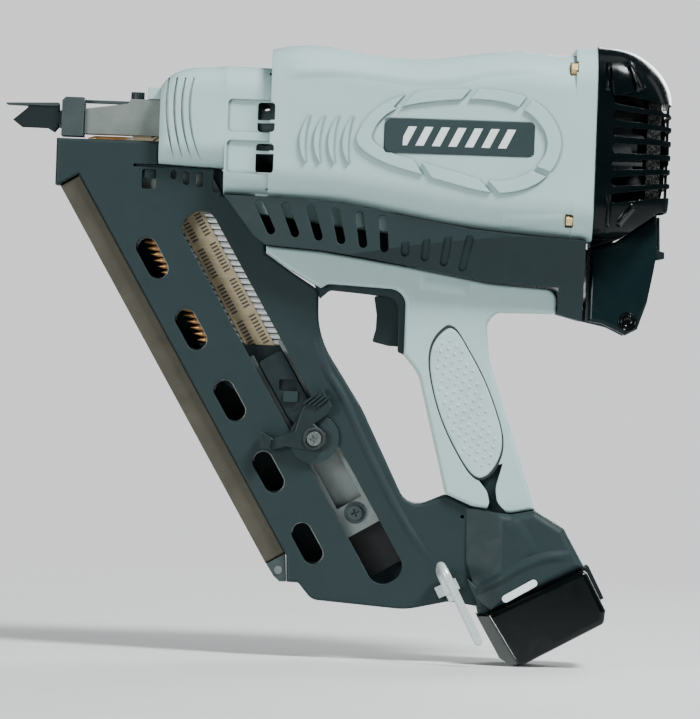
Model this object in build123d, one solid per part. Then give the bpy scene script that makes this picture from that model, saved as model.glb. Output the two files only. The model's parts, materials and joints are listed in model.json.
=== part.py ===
from build123d import *
import math
import os

# A cordless gas framing nailer. Millimetres. X runs rearward along the driver axis, Z is up, and the tool's
# left side faces -Y. The origin is the mouth of the nail-exit bore, on the driver axis.

# Overall driving dimensions
FRONT_PLANE = 57.0  # front of the grey cylinder housing
SPLIT_GAP = 0.15  # half of the visible parting line between pieces
WALL = 2.8  # moulded wall

# Half-widths, from the middle plane
MAGAZINE_HALF = 15.0
CORE_HALF = 13.0
GRIP_HALF = 19.0
FOOT_HALF = 25.0
BATTERY_HALF = 27.0
DOOR_HALF = 24.0

# Magazine frame: u runs down the magazine, v across it, from the rail's upper outer corner
MAGAZINE_TILT = 30.6
RAIL_CORNER = (2.0, -37.5)
RAIL_WIDTH = 12.0
RAIL_LENGTH = 242.5
WINDOW_U, WINDOW_PITCH, WINDOW_V = 60.8, 45.7, 26.2
WINDOW_LENGTH, WINDOW_WIDTH = 25.5, 12.0
SLOT_LOW, SLOT_HIGH = 47.6, 67.8  # v range of the long side slot
SLOT_TOP, MOUTH_END = 50.0, 285.0  # u range of the long side slot, down to the open mouth

# Nails: 57 mm, 2.9 mm shank, clipped heads, in a paper strip
NAIL_LENGTH = 57.0
SHANK_R = 1.45
POINT_LENGTH = 4.5
HEAD_R = 3.3
HEAD_THICK = 1.1
NAIL_DROP = 3.38  # vertical step from nail to nail
NAIL_HEAD_X = 67.0  # back of the nail that lies in the nose
NAIL_COUNT = 36

# Driver train
EXIT_R, EXIT_LENGTH = 4.2, 8.0
GUIDE_R = 4.0  # bore behind the exit
BLADE_R = 3.2
CYLINDER_R, BORE_R = 26.0, 23.6
CYLINDER_FRONT, CYLINDER_REAR = 100.2, 200.0
SLEEVE_R, SLEEVE_BORE = 35.5, 33.0
SLEEVE_FRONT, SLEEVE_REAR = 178.0, 276.0

# Hinges and slides on the outside
DOOR_PIVOT = (323.5, -103.0)
TRIGGER_PIVOT = (198.0, -98.0)
LEVER_U, LEVER_V = 193.7, 57.6
FUEL_AXIS_Z = -79.0
FUEL_R = 15.5
BATTERY_TILT = 27.5  # slope of the parting line between foot and battery
BATTERY_MIDDLE = (279.0, -255.0)  # middle of that parting line

DOWN = (math.sin(math.radians(MAGAZINE_TILT)), -math.cos(math.radians(MAGAZINE_TILT)))


def magazine(u, v):
    """Side-view point of magazine coordinates."""
    x = RAIL_CORNER[0] + u * DOWN[0] - v * DOWN[1]
    z = RAIL_CORNER[1] + u * DOWN[1] + v * DOWN[0]
    return (x, z)


def level(v, z):
    """Side-view point at height z on the magazine line v."""
    u = (RAIL_CORNER[1] + v * DOWN[0] - z) / -DOWN[1]
    return magazine(u, v)


def battery_point(along, across):
    """Side-view point of battery coordinates: along the way out, and across it towards the rear."""
    turn = math.radians(BATTERY_TILT)
    x = BATTERY_MIDDLE[0] + along * math.sin(turn) + across * math.cos(turn)
    z = BATTERY_MIDDLE[1] - along * math.cos(turn) + across * math.sin(turn)
    return (x, z)


def battery_box(along_low, along_high, across_low, across_high, y_low, y_high):
    corners = [(along_low, across_low), (along_low, across_high)]
    corners += [(along_high, across_high), (along_high, across_low)]
    return side(outline([battery_point(*c) for c in corners]), y_low, y_high)


def outline(points, radius=0.0):
    """A closed side-view outline, its corners rounded."""
    if radius:
        return make_face(FilletPolyline(*points, radius=radius, close=True))
    return make_face(Polyline(*points, close=True))


def cornered(corners):
    """A closed side-view outline from corners of x, z and the radius of each."""
    return make_face(FilletPolyline(*[c[:2] for c in corners], radius=[c[2] for c in corners], close=True))


def side(sketch, y_low, y_high):
    """A side-view (X, Z) sketch made solid from y_low to y_high."""
    return extrude(Plane.XZ.offset(-y_high) * sketch, amount=y_high - y_low, dir=(0, -1, 0))


def plan(sketch, z_low, z_high):
    """A plan-view (X, Y) sketch made solid from z_low to z_high."""
    return extrude(Pos(0, 0, z_low) * sketch, amount=z_high - z_low)


def disc(x_low, x_high, r, y=0.0, z=0.0):
    """A cylinder along X."""
    return extrude(Plane.YZ.offset(x_low) * Pos(y, z) * Circle(r), amount=x_high - x_low)


def ring(x_low, x_high, r_out, r_in, y=0.0, z=0.0):
    return disc(x_low, x_high, r_out, y, z) - disc(x_low - 1, x_high + 1, r_in, y, z)


def block(x_low, x_high, y_low, y_high, z_low, z_high):
    middle = Pos((x_low + x_high) / 2, (y_low + y_high) / 2, (z_low + z_high) / 2)
    return middle * Box(x_high - x_low, y_high - y_low, z_high - z_low)


def pin(x, z, r, y_low, y_high):
    """A cylinder along Y."""
    return side(Pos(x, z) * Circle(r), y_low, y_high)


def both_sides(part):
    return part + mirror(part, Plane.XZ)


def in_magazine(u, v, sketch):
    """A sketch whose length runs down the magazine, centred at u, v."""
    return Pos(*magazine(u, v)) * Rot(0, 0, MAGAZINE_TILT - 90) * sketch


def bar_in_magazine(u_low, u_high, v_low, v_high, y_low, y_high):
    sketch = Rectangle(u_high - u_low, v_high - v_low)
    return side(in_magazine((u_low + u_high) / 2, (v_low + v_high) / 2, sketch), y_low, y_high)


def rim(part, y):
    """The outer edges of a side-view solid at one y."""
    return part.edges().filter_by_position(Axis.Y, y - 0.01, y + 0.01)


def save(part, name):
    os.makedirs("parts", exist_ok=True)
    export_step(part, f"parts/{name}.step")


def rounded_side(sketch, y_low, y_high, radius):
    """A side-view solid whose rim at y_high is rounded."""
    part = side(sketch, y_low, y_high)
    return fillet(rim(part, y_high), radius)


# ---- charcoal clamshell -------------------------------------------------------------------------------

# x, z and corner radius
MAGAZINE_CORNERS = [
    (-0.8, -37.2, 0), (-0.8, -11, 0), (57.3, -11, 0), (57.3, -24.2, 0), (93.5, -25.2, 2), (93.6, -39.7, 0),
    (118.9, -40.4, 0), (118.9, -71.3, 0), (133, -80.9, 0), (149.6, -91.2, 5), (150.2, -117, 50),
    (176.5, -157, 70), (204.5, -213, 12), (225.5, -203.8, 4), (240, -210.4, 0), (246, -266, 0),
    (229.5, -263.6, 12), (205, -269.2, 40), (152, -265.5, 8), (144, -256.2, 2), (137.5, -256, 0),
    (*magazine(244, RAIL_WIDTH + 0.3), 0), (*magazine(-0.4, RAIL_WIDTH + 0.3), 0), (*magazine(-0.4, 0), 0),
]
BAND_OUTLINE = [
    (94.4, -39.8), (125, -40.3), (160, -42.3), (200, -49.1), (235, -54.6), (265, -57.1), (298, -58.6),
    (298, -103.5), (284, -100), (284, -85.2), (245, -83.7), (200, -76.2), (175, -72.2), (150, -69.1),
    (119, -67.2), (112, -62),
]
GRIP_CORNERS = [
    (119.3, -67.5, 0), (150, -69.4, 60), (200, -76.5, 60), (245, -84, 60), (284, -86.4, 7), (283.6, -99.8, 2),
    (244.2, -100.4, 9), (246.6, -126, 60), (258.5, -160, 60), (275.5, -210.2, 0), (262, -212.8, 12),
    (240, -209.5, 12), (225.2, -203.3, 1), (213.3, -158, 60), (207.5, -136, 20), (198.8, -126, 1),
    (198.8, -89.6, 9), (155, -87.7, 5), (151, -90.2, 0), (133, -80.5, 0), (119.3, -71.2, 0),
]
CORE_CORNERS = [
    (119, -62, 0), (245, -76, 0), (281, -80, 0), (281, -97, 0), (252, -97.3, 0), (240.8, -112, 0),
    (246, -131, 0), (255.3, -161, 0), (272, -211, 0), (262, -216, 0), (228, -208, 0), (216.7, -160, 0),
    (210, -135, 0), (199.5, -126.2, 0), (195.4, -124.5, 1.5), (194.8, -94.4, 7), (178, -92.6, 20),
    (156, -91, 4), (150.4, -96, 0), (147, -88, 0),
]
FOOT_OUTLINE = [
    (237, -210.6), (262, -213.4), (275.5, -210.6), (292, -220), (299, -232), (304.4, -241.4), (253, -268.2),
    (245, -262), (238, -240),
]
HINGE_ARM = [(290, -99), (298, -97), (323.5, -97.5), (323.5, -108.5), (296, -103)]
BAND_HOLLOW = [
    (108, -36), (160, -39), (200, -45), (294, -55), (294, -97), (284, -97), (284, -82), (200, -73.4),
    (130, -66), (116, -58),
]
HANDLE_HOLLOW = [
    (207.5, -90), (243, -92), (237.5, -112), (243, -132), (252.4, -162), (268, -208), (232, -204),
    (219.7, -160), (213, -134), (206, -124),
]
FOOT_HOLLOW = [(240, -216), (262, -219), (274, -216), (289, -224), (297, -240), (254, -261)]
LOBE_GAP = [
    (239.4, -190, 0), (256.6, -185, 0), (253, -199, 14), (254.2, -207, 8), (262, -214.5, 0),
    (247.5, -214.5, 0), (249.8, -207, 3), (248.4, -201, 8),
]


def foot_plan(wall=0.0):
    """Seen from above, the foot swells out from the magazine's width."""
    near, far = MAGAZINE_HALF - wall, FOOT_HALF + 0.2 - wall
    points = [(200, -near), (236, -near), (258, -far), (320, -far)]
    points += [(x, -y) for x, y in reversed(points)]
    return make_face(Polyline(*points, close=True))


def windows(grow=0.0):
    """The five stadium windows along the magazine."""
    sketch = SlotOverall(WINDOW_LENGTH + grow, WINDOW_WIDTH + grow)
    places = [WINDOW_U + k * WINDOW_PITCH for k in range(5)]
    return Sketch() + [in_magazine(u, WINDOW_V, sketch) for u in places]


def vents():
    """Ten slanted slots along the band, the first six open."""
    open_slots, blind_slots = [], []
    for k in range(10):
        top_x = 113.8 + 15.0 * k - 0.19 * k * k
        top_z = -42.6 - 0.55 * k - 0.13 * k * k
        lean = math.radians(26 - 4.2 * k)
        length = 20.5
        middle = (top_x + math.sin(lean) * length / 2, top_z - math.cos(lean) * length / 2)
        slot = Pos(*middle) * Rot(0, 0, 90 + math.degrees(lean)) * SlotOverall(length, 4.6)
        (open_slots if k < 6 else blind_slots).append(slot)
    return Sketch() + open_slots, Sketch() + blind_slots


def band_plan(wall=0.0):
    """Seen from above, the band widens towards the head."""
    points = [(90, 24 - wall), (119, 30 - wall), (170, 37 - wall), (215, 41.5 - wall), (300, 44 - wall)]
    near = Spline(*[(x, -y) for x, y in points])
    far = Spline(*reversed(points))
    return make_face([near, Line(near @ 1, far @ 0), far, Line(far @ 1, near @ 0)])


def band_taper(share=1.0):
    """Seen from the rear, the band narrows down to the handle; share thins it."""
    points = [(50 * share, -30), (44 * share, -58), (30 * share, -82), (21 * share, -106)]
    right = Spline(*points)
    left = Spline(*[(-y, z) for y, z in reversed(points)])
    profile = make_face([right, Line(right @ 1, left @ 0), left, Line(left @ 1, right @ 0)])
    return extrude(Plane.YZ.offset(80) * profile, amount=230)


def front_vents():
    """Three short vents, the gap before the waist and the small sight window."""
    sketch = Sketch() + Pos(65.8, -29.5) * SlotOverall(5.4, 3.2, rotation=90)
    sketch += Pos(73, -31) * SlotOverall(8, 3.6, rotation=90)
    sketch += Pos(80.5, -31.7) * SlotOverall(8.6, 4.4, rotation=90)
    sketch += Pos(91, -31.5) * RectangleRounded(5.6, 13.5, 1.5)
    return sketch + Pos(52, -32.4) * RectangleRounded(8, 11, 1.2)


def housing_right_half():
    """The half at +Y, hollow, open at the split."""
    slab = rounded_side(cornered(MAGAZINE_CORNERS), SPLIT_GAP, MAGAZINE_HALF, 1.8)
    band = side(outline(BAND_OUTLINE), SPLIT_GAP, 60) & plan(band_plan(), -120, -30) & band_taper()
    core = side(cornered(CORE_CORNERS), SPLIT_GAP, CORE_HALF)
    foot = rounded_side(outline(FOOT_OUTLINE), SPLIT_GAP, FOOT_HALF, 5) & plan(foot_plan(), -280, -200)
    hinge_arm = side(outline(HINGE_ARM), SPLIT_GAP, 9.6) + pin(*DOOR_PIVOT, 5.5, SPLIT_GAP, 9.6)
    half = slab + band + core + foot - housing_skin(0.3) + hinge_arm
    # hollows: nail channel and magazine walls, band, handle, foot
    half -= bar_in_magazine(-60, 300, 20.6, 78.2, -1, MAGAZINE_HALF - WALL)
    half -= side(outline([(86, -44), (147, -46), (147, -86), (118, -66)]), -1, 12)
    hollow = plan(band_plan(WALL), -120, -30) & band_taper(0.9)
    half -= side(outline(BAND_HOLLOW), -1, 60) & hollow
    half -= side(outline(HANDLE_HOLLOW), -1, CORE_HALF - 2.4)
    half -= side(outline(FOOT_HOLLOW), -1, FOOT_HALF - WALL) & plan(foot_plan(WALL), -280, -200)
    half -= battery_box(-27, 4, -14.7, 14.7, -1, 18.2)
    half -= disc(196, 302, FUEL_R + 0.9, 0, FUEL_AXIS_Z)
    half -= side(vents()[0] + vents()[1], 10, 60) - band_taper(0.965)
    half -= side(front_vents(), 13.2, 60)
    half -= side(Pos(52, -24.8) * Rectangle(18, 1.6), 12.5, 60)
    half -= pin(*DOOR_PIVOT, 2.05, -1, 60)
    half -= pin(*TRIGGER_PIVOT, 2.05, -1, 10.5)
    half -= pin(235, -215.8, 1.1, 11, 60)
    half -= block(176, 209, -1, 8.6, -128, -91.5)
    return half


def screw_seats():
    """Counterbores and holes for the screws, in the right half."""
    seats = [pin(x, z, 3.3, 12.4, 60) + pin(x, z, 1.55, 1.9, 12.5) for x, z in SCREW_PLACES]
    return Part() + seats


def housing_left_half(right):
    left = mirror(right, Plane.XZ)
    middle = ((SLOT_TOP + MOUTH_END) / 2, (SLOT_LOW + SLOT_HIGH) / 2)
    length, width = MOUTH_END - SLOT_TOP, SLOT_HIGH - SLOT_LOW
    slot = in_magazine(*middle, RectangleRounded(length, width, 9.0))
    left -= side(slot, -60, -1)
    # only this side is open into the magazine, the vents and the sight window
    left -= side(windows(), -60, -1) + side(vents()[0], -60, -10) + side(front_vents(), -60, -8)
    # the charge bar's seat beside the battery
    seat = Pos(268.5, -256) * Rot(0, 0, 31) * SlotOverall(22.6, 4.8)
    return left - side(seat, -60, -FOOT_HALF + 1.2)


# ---- grey cylinder housing ----------------------------------------------------------------------------

# x, bottom z, top z, half-width, corner radius
NOSE_STATIONS = [
    (57.0, -23.6, 20.0, 22.0, 9.0), (62.0, -23.9, 26.0, 24.5, 12.0), (72.0, -24.3, 30.6, 26.5, 14.0),
    (94.0, -24.8, 32.8, 29.6, 15.0),
]
WAIST_STATIONS = [(94.0, -39.3, 32.8, 29.6, 15.0), (119.2, -40.2, 32.2, 31.6, 15.0)]
BODY_STATIONS = [
    (119.2, -40.2, 42.6, 37.0, 17.0), (124.0, -40.3, 43.8, 38.5, 17.5), (160.0, -42.2, 43.8, 42.0, 18.0),
    (198.0, -48.8, 39.6, 46.5, 19.0), (235.0, -54.4, 43.8, 50.0, 20.0), (265.0, -56.9, 45.6, 51.5, 21.0),
    (301.0, -58.5, 48.5, 52.0, 21.0),
]
CAP_STATIONS = [
    (301.2, -57.2, 50.2, 53.5, 21.0), (310.0, -57.2, 49.4, 53.5, 21.0), (322.0, -56.0, 46.6, 52.0, 21.0),
    (332.0, -53.0, 40.5, 48.5, 20.0), (339.0, -48.0, 33.0, 43.0, 18.0), (343.6, -40.0, 22.0, 35.0, 16.0),
]


def body_loft(stations, grow=0.0, stretch=0.0):
    """A solid lofted through rounded-rectangle sections, each grown by grow."""
    sections = []
    last = len(stations) - 1
    for number, (x, bottom, top, half, corner) in enumerate(stations):
        x += stretch if number == last else (-stretch if number == 0 else 0)
        face = RectangleRounded(2 * (half + grow), top - bottom + 2 * grow, corner + grow)
        sections.append(Plane.YZ.offset(x) * Pos(0, (top + bottom) / 2) * face)
    return loft(sections)


def housing_skin(grow=0.0):
    """The outer form of the grey housing: nose cone, waist and body."""
    return body_loft(NOSE_STATIONS, grow) + body_loft(WAIST_STATIONS, grow) + body_loft(BODY_STATIONS, grow)


OVAL_POINTS = [
    (168, -4), (180, 12), (200, 20.5), (226, 23), (252, 22), (271, 14), (281.5, -6), (274, -24),
    (250, -34), (225, -30.5), (196, -23), (176, -15.5),
]
OVAL_INNER = [
    (176.5, -3.5), (187, 9.5), (203, 14.5), (226, 17.2), (250, 16.2), (265, 9.5), (274, -6), (268, -19),
    (249, -27.6), (227, -24.6), (200, -17.5), (183, -11.8),
]


def oval_ring():
    """The raised oval ring round the badge, split by slanted slashes."""
    ring_sketch = make_face(Spline(*OVAL_POINTS, periodic=True))
    ring_sketch -= make_face(Spline(*OVAL_INNER, periodic=True))
    slashes = [(194, 16.5, 50), (230, 20, 50), (262, 17.5, 55), (205, -22, -55), (242, -30, -45)]
    slashes.append((271.5, -21.5, -20))
    for x, z, turn in slashes:
        ring_sketch -= Pos(x, z) * Rot(0, 0, turn) * Rectangle(15, 3.4)
    return ring_sketch


def curved_ribs():
    """Four raised ribs, each a slim crescent."""
    ribs = Sketch()
    for k in range(4):
        x = 137.5 + 8 * k
        path = ThreePointArc((x + 4, 6), (x - 1.5, -8), (x + 2.5, -21))
        back = ThreePointArc((x + 2.5, -21), (x + 1.6, -8), (x + 4, 6))
        ribs += make_face([path, back])
    return ribs


def flow_grooves():
    """Four grooves that flow down the front."""
    grooves = Sketch()
    for k in range(4):
        top, middle, foot = (61 + 4.7 * k, 25), (60.2 + 4.3 * k, 8), (66 + 5.0 * k, -21)
        front = ThreePointArc(top, middle, foot)
        back = ThreePointArc(foot, (middle[0] + 1.3, middle[1]), (top[0] + 0.8, top[1]))
        grooves += make_face([front, back, Line((top[0] + 0.8, top[1]), top)])
    return grooves


def pockets():
    upper = Pos(108.7, 4.5) * RectangleRounded(26.5, 18.5, 2.5)
    lower = Pos(108.5, -18.5) * RectangleRounded(26.5, 18.5, 2.5)
    upper_hole = Pos(117, 4) * RectangleRounded(9.6, 16.5, 2)
    lower_hole = Pos(116.8, -19) * RectangleRounded(10, 16.5, 2)
    bars = Pos(117, 1.6) * Rectangle(12, 1.8) + Pos(117, -15.6) * Rectangle(12, 1.8)
    return upper + lower, upper_hole + lower_hole - bars


LIP = [(112, -37), (112, -49.5), (189, -57.5), (189, -44)]
FLANGE_STATIONS = [(289.0, -58.4, 48.4, 52.6, 21.0), (301.0, -59.0, 49.0, 53.0, 21.0)]


def cylinder_housing():
    """The grey shell round the cylinder, open at the rear, with its pockets, ribs and raised ring."""
    shell = housing_skin()
    raised = side(oval_ring() + curved_ribs(), -60, 60)
    shell += raised & (body_loft(BODY_STATIONS, 1.8) - block(50, 310, -30, 30, -70, 70))
    groove_depth = body_loft(NOSE_STATIONS, 0.5, 0.5) - body_loft(NOSE_STATIONS, -0.9, 2)
    shell += body_loft(FLANGE_STATIONS)
    shell -= side(flow_grooves(), -60, 60) & groove_depth
    recess, holes = pockets()
    deep = body_loft(WAIST_STATIONS, 1.0, 2) - body_loft(WAIST_STATIONS, -2.0, 6)
    shell -= side(recess, -60, 60) & deep
    # the hollow, open at the rear
    shell -= body_loft(NOSE_STATIONS, -WALL) - block(50, FRONT_PLANE + 3.3, -60, 60, -60, 60)
    shell -= body_loft(WAIST_STATIONS, -WALL) - block(90, 94 + WALL, -60, 60, -60, -21.8)
    shell -= block(118, 123, -27, 27, -36.5, 29.2)
    shell -= body_loft(BODY_STATIONS, -WALL) - block(110, 119.2 + WALL, -60, 60, -60, 60)
    shell -= side(holes, -60, 60)
    shell += both_sides(side(outline(LIP), 20, 22.4))
    shell -= block(50, 62, -9.3, 9.3, -8.9, 9.6) + block(50, 62, -5.2, 5.2, 8, 19.4)
    shell += both_sides(block(49.5, 57.2, 5.6, 9.6, 12.8, 19.5))
    shell -= badge_seats()
    shell -= bar_in_magazine(-60, 100, -40, 79, -6, 6) - block(50, 120, -7, 7, -1.5, 60)
    for z in BOLT_HEIGHTS:
        shell -= both_sides(disc(285.5, 290, 5.0, BOLT_SPREAD, z) + disc(289, 302, 2.2, BOLT_SPREAD, z))
    return shell


BADGE_MIDDLE = (225.0, -4.0)
BADGE_SIZE = (83.0, 19.0)
BOLT_HEIGHTS = (36.0, -47.0)
BOLT_SPREAD = 46.5


def badge_seats():
    seat = Pos(*BADGE_MIDDLE) * RectangleRounded(BADGE_SIZE[0] + 0.6, BADGE_SIZE[1] + 0.6, 2.2)
    return side(seat, -60, 60) - body_loft(BODY_STATIONS, -0.8)


def badge_plates():
    plate = side(Pos(*BADGE_MIDDLE) * RectangleRounded(*BADGE_SIZE, 2), -60, 60)
    return plate & (body_loft(BODY_STATIONS, 0.5) - body_loft(BODY_STATIONS, -0.75))


def cover_bolts():
    """Hex-head brass bolts that hold the head cover's flange."""
    bolts = []
    for y in (-BOLT_SPREAD, BOLT_SPREAD):
        for z in BOLT_HEIGHTS:
            head = extrude(Plane.YZ.offset(286) * Pos(y, z) * RegularPolygon(4.2, 6), amount=3.6)
            bolts.append(head + disc(289, 300.8, 2.1, y, z))
    return Compound(children=bolts)


# ---- head cover, door, fuel cell ----------------------------------------------------------------------

LOUVRE_HEIGHTS = (20.5, 11.8, 2.6, -6.8, -16.2, -25.6, -34.8)
CAP_LIP = [(301.2, -56), (301.2, -62.1), (304, -60.6), (309, -58.7), (314, -57.5), (316, -56)]
CAP_FOOT = [(300, -57.4), (316, -57.4), (338.4, -41.2), (350, -41.2), (350, -80), (300, -80)]


def head_cover():
    """The louvred cap: a lofted shell with slots that run round the rear."""
    cap = body_loft(CAP_STATIONS) - body_loft(CAP_STATIONS, -3.0, -1.0)
    cap -= body_loft(CAP_STATIONS[:3], -3.0, 2.0)
    cap -= side(outline(CAP_FOOT), -60, 60)
    cap += side(outline([(316, -57), (338.4, -40.9), (338.4, -38), (316, -54)]), -33, 33)
    cap += side(outline(CAP_LIP), -DOOR_HALF, DOOR_HALF)
    for z in LOUVRE_HEIGHTS:
        lean = -0.3 * (z + 7)
        slot = Pos(312, z) * Rot(0, 0, lean) * Pos(22, 0) * SlotOverall(48, 5.2)
        cap -= side(slot, -60, -7) + side(slot, 7, 60)
    rib = side(outline([(308, 40), (315, 42), (322, 25), (310, 22)], 1.5), -60, 60)
    rib += side(outline([(308, -33), (310.5, -33), (310.5, -54), (308, -54)]), -60, 60)
    cap += rib & (body_loft(CAP_STATIONS, 1.0) - body_loft(CAP_STATIONS, -2.0))
    bump = plan(Pos(304.5, 0) * RectangleRounded(7, 30, 2), 47, 50.25)
    return cap + bump + side(Pos(342.6, -9) * RectangleRounded(2.8, 11, 1), -10, 10)


DOOR_OUTLINE = [
    (301.3, -62.6), (309, -59.8), (316, -58.1), (337.8, -42.2), (338.6, -64), (337, -75), (334, -92),
    (329, -107), (322.5, -110.6), (316, -107.6), (309, -104.6), (301.3, -103.5),
]


DOOR_HOLLOW = [
    (290, -64.6), (317, -61), (334.4, -49), (335.8, -64), (334.2, -75), (331.2, -91), (329, -98), (290, -98),
]


def fuel_door():
    """The tail door: a box open to the front, with ears on the hinge pin."""
    door = fillet(rim(side(outline(DOOR_OUTLINE), -DOOR_HALF, DOOR_HALF), DOOR_HALF), 2.5)
    door = fillet(rim(door, -DOOR_HALF), 2.5)
    door -= side(outline(DOOR_HOLLOW), -DOOR_HALF + 2.5, DOOR_HALF - 2.5)
    door -= pin(*DOOR_PIVOT, 6.2, -10, 10) + block(298, 323.5, -10, 10, -112, -95.5)
    door -= block(312, 331, -10, 10, -113, -96)
    return door - pin(*DOOR_PIVOT, 2.3, -60, 60)


def door_pin():
    return pin(*DOOR_PIVOT, 2.0, -DOOR_HALF + 0.5, DOOR_HALF - 0.5)


def door_latch():
    """Spring catch on the door's back."""
    strip = side(outline([(338.9, -43.5), (340.1, -43.5), (341, -63.4), (339.6, -63.4)]), -9, 9)
    tab = side(outline([(339.2, -62), (343.4, -63), (343.4, -66.6), (338.9, -67.6)]), -11, 11)
    return strip + tab


def fuel_cell():
    """Pressed can with its metering valve at the front."""
    can = fillet(disc(204, 301, FUEL_R, 0, FUEL_AXIS_Z).edges(), 1.2)
    return can + disc(199, 204.5, 6, 0, FUEL_AXIS_Z) + disc(196.5, 199.5, 2.5, 0, FUEL_AXIS_Z)


# ---- head, fan, chamber, driver -----------------------------------------------------------------------

def cylinder_head():
    """Cast head: a disc that closes the chamber, and a finned dome round the fan motor."""
    head = disc(289.5, 301, 37) + disc(300.5, 322, 31)
    for k in range(16):
        fin = Rot(22.5 * k, 0, 0) * Pos(314, 0, 33) * Box(28, 2.2, 12)
        head += fin
    head -= disc(302, 340, 14.6)
    head -= disc(288, 303, 2.56)
    return head - disc(288, 310, 3.6, 20, 17)


def fan_motor():
    motor = fillet(disc(302.3, 327, 14).edges().sort_by(Axis.X)[-1:], 1.5)
    return motor - disc(301, 306, 2.8)


def fan():
    """Five pitched blades on a hub, with the shaft that runs through the head."""
    rotor = disc(278.5, 286, 7) + disc(285, 305, 2.5)
    for k in range(5):
        blade = Pos(282, 0, 15) * Rot(0, 0, 32) * Box(1.4, 9, 19)
        rotor += Rot(72 * k, 0, 0) * blade
    return rotor


def spark_plug():
    return disc(286, 310, 3.5, 20, 17) + disc(281.5, 286.5, 1.0, 20, 17)


def air_filter():
    """Foam pad behind the louvres."""
    return fillet(block(330.5, 338, -30, 30, -36, 22).edges().filter_by(Axis.X), 6)


def cylinder():
    tube = ring(CYLINDER_FRONT, CYLINDER_REAR, CYLINDER_R, BORE_R)
    tube += ring(196.5, CYLINDER_REAR, 32.4, BORE_R)
    for k in range(8):
        tube -= Rot(45 * k + 22.5, 0, 0) * Pos(117, 0, 25) * Cylinder(2.2, 8)
    return tube


def bumper():
    return fillet(ring(101.6, 111.6, BORE_R - 0.2, 7.5).edges().sort_by(Axis.X)[-2:], 1.5)


FLANGE_HOLES = [(y, z) for y in (-11.5, 11.5) for z in (-13, 13)]


def front_cap():
    """Cast cone from the nose flange to the cylinder, notched for the strap and the nails."""
    cap = block(66.3, 69.4, -15, 15, -17, 17) + disc(69, 97.2, 13.5)
    cap += disc(97, CYLINDER_FRONT - 0.1, CYLINDER_R)
    cap -= disc(60, 105, 6.5)
    for y, z in FLANGE_HOLES:
        cap -= disc(60, 72, 1.9, y, z)
    cap -= bar_in_magazine(-60, 100, 0, 79, -6, 6) - block(50, 120, -7, 7, -1.5, 60)
    return cap - block(60, 110, -5.4, 5.4, 9, 40)


def chamber_sleeve():
    sleeve = ring(SLEEVE_FRONT, SLEEVE_REAR, SLEEVE_R, SLEEVE_BORE)
    sleeve += ring(SLEEVE_FRONT, SLEEVE_FRONT + 3, SLEEVE_R, CYLINDER_R + 0.4)
    for k in range(10):
        sleeve += ring(206 + 6.5 * k, 207.4 + 6.5 * k, SLEEVE_R + 0.9, SLEEVE_BORE)
    return sleeve


def chamber_seals():
    seal_r = SLEEVE_BORE - 0.05
    return Compound(children=[ring(274.0, 275.8, seal_r, 31.4), ring(181.1, 183, seal_r, 30)])


def piston():
    return disc(190, 198, BORE_R - 0.35) - disc(194, 199, 18) - ring(192, 194, BORE_R + 1, 21.5)


def piston_ring():
    return ring(192.05, 193.95, BORE_R - 0.06, 21.55)


def driver_blade():
    blade = disc(NAIL_HEAD_X + 0.6, 189.9, BLADE_R)
    return blade - block(60, 200, -4, 4, -4, -1.5)


# ---- nose and contact arm -----------------------------------------------------------------------------


def nose_guide():
    """The cast nose: exit tube, guide block, neck and flange."""
    shape = [(14.5, -7.9), (56.9, -7.9), (56.9, 12.5), (40, 12.5), (38.5, 9.8), (30, 8.5), (14.5, 6.2)]
    nose = side(outline(shape), -9, 9) + disc(0, 15, 5.1)
    nose += block(56, 61, -9, 9, -7.9, 8.6)
    nose += block(60.6, 66.1, -15, 15, -17, 17)
    nose -= block(13, 70, -4.8, 4.8, 8.9, 22)
    nose -= disc(-1, EXIT_LENGTH, EXIT_R) + disc(0, 70, GUIDE_R)
    nose -= side(outline([(8, 0), (8, -3), (20, -24), (72, -24), (72, 0)]), -GUIDE_R, GUIDE_R)
    for y, z in FLANGE_HOLES:
        nose -= disc(59, 70, 1.9, y, z)
    return nose


def nose_bolts():
    bolts = [disc(60.9, 69.6, 1.8, y, z) + disc(69.5, 72, 2.9, y, z) for y, z in FLANGE_HOLES]
    return Compound(children=bolts)


KNOB_AXIS = (43.5, 0.0)


def contact_bracket():
    """Collar that rides over the nose and carries the foot."""
    profile = [(1.5, -9.5), (14, -9.5), (14, 12.4), (3.5, 12.4), (1.5, 10.4)]
    collar = side(outline(profile), -12.2, 12.2) - block(0, 15, -9.6, 9.6, -8.5, 9.4)
    return collar - block(0, 15, -3.2, 3.2, -10, -8)


def contact_strap():
    """Strap from the collar back over the cylinder to the chamber sleeve."""
    rear = SLEEVE_FRONT - 0.05
    lower = [(14, 9.6), (48, 9.6), (62, 17), (80, 27), (rear, 27)]
    upper = [(rear, 28.5), (79.6, 28.5), (61.4, 18.5), (47.7, 11.3), (14, 11.3)]
    strap = side(outline(lower + upper), -4, 4)
    return strap - Pos(*KNOB_AXIS, 10) * Cylinder(1.56, 6)


def depth_knob():
    """Knurled knob that sets how far the foot stands out."""
    knob = Pos(*KNOB_AXIS, 14.2) * Cylinder(3.9, 5)
    for k in range(12):
        knob -= Pos(*KNOB_AXIS, 14.2) * Rot(0, 0, 30 * k) * Pos(4.2, 0, 0) * Cylinder(0.55, 6)
    return knob + Pos(*KNOB_AXIS, 11) * Cylinder(1.5, 3)


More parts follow.
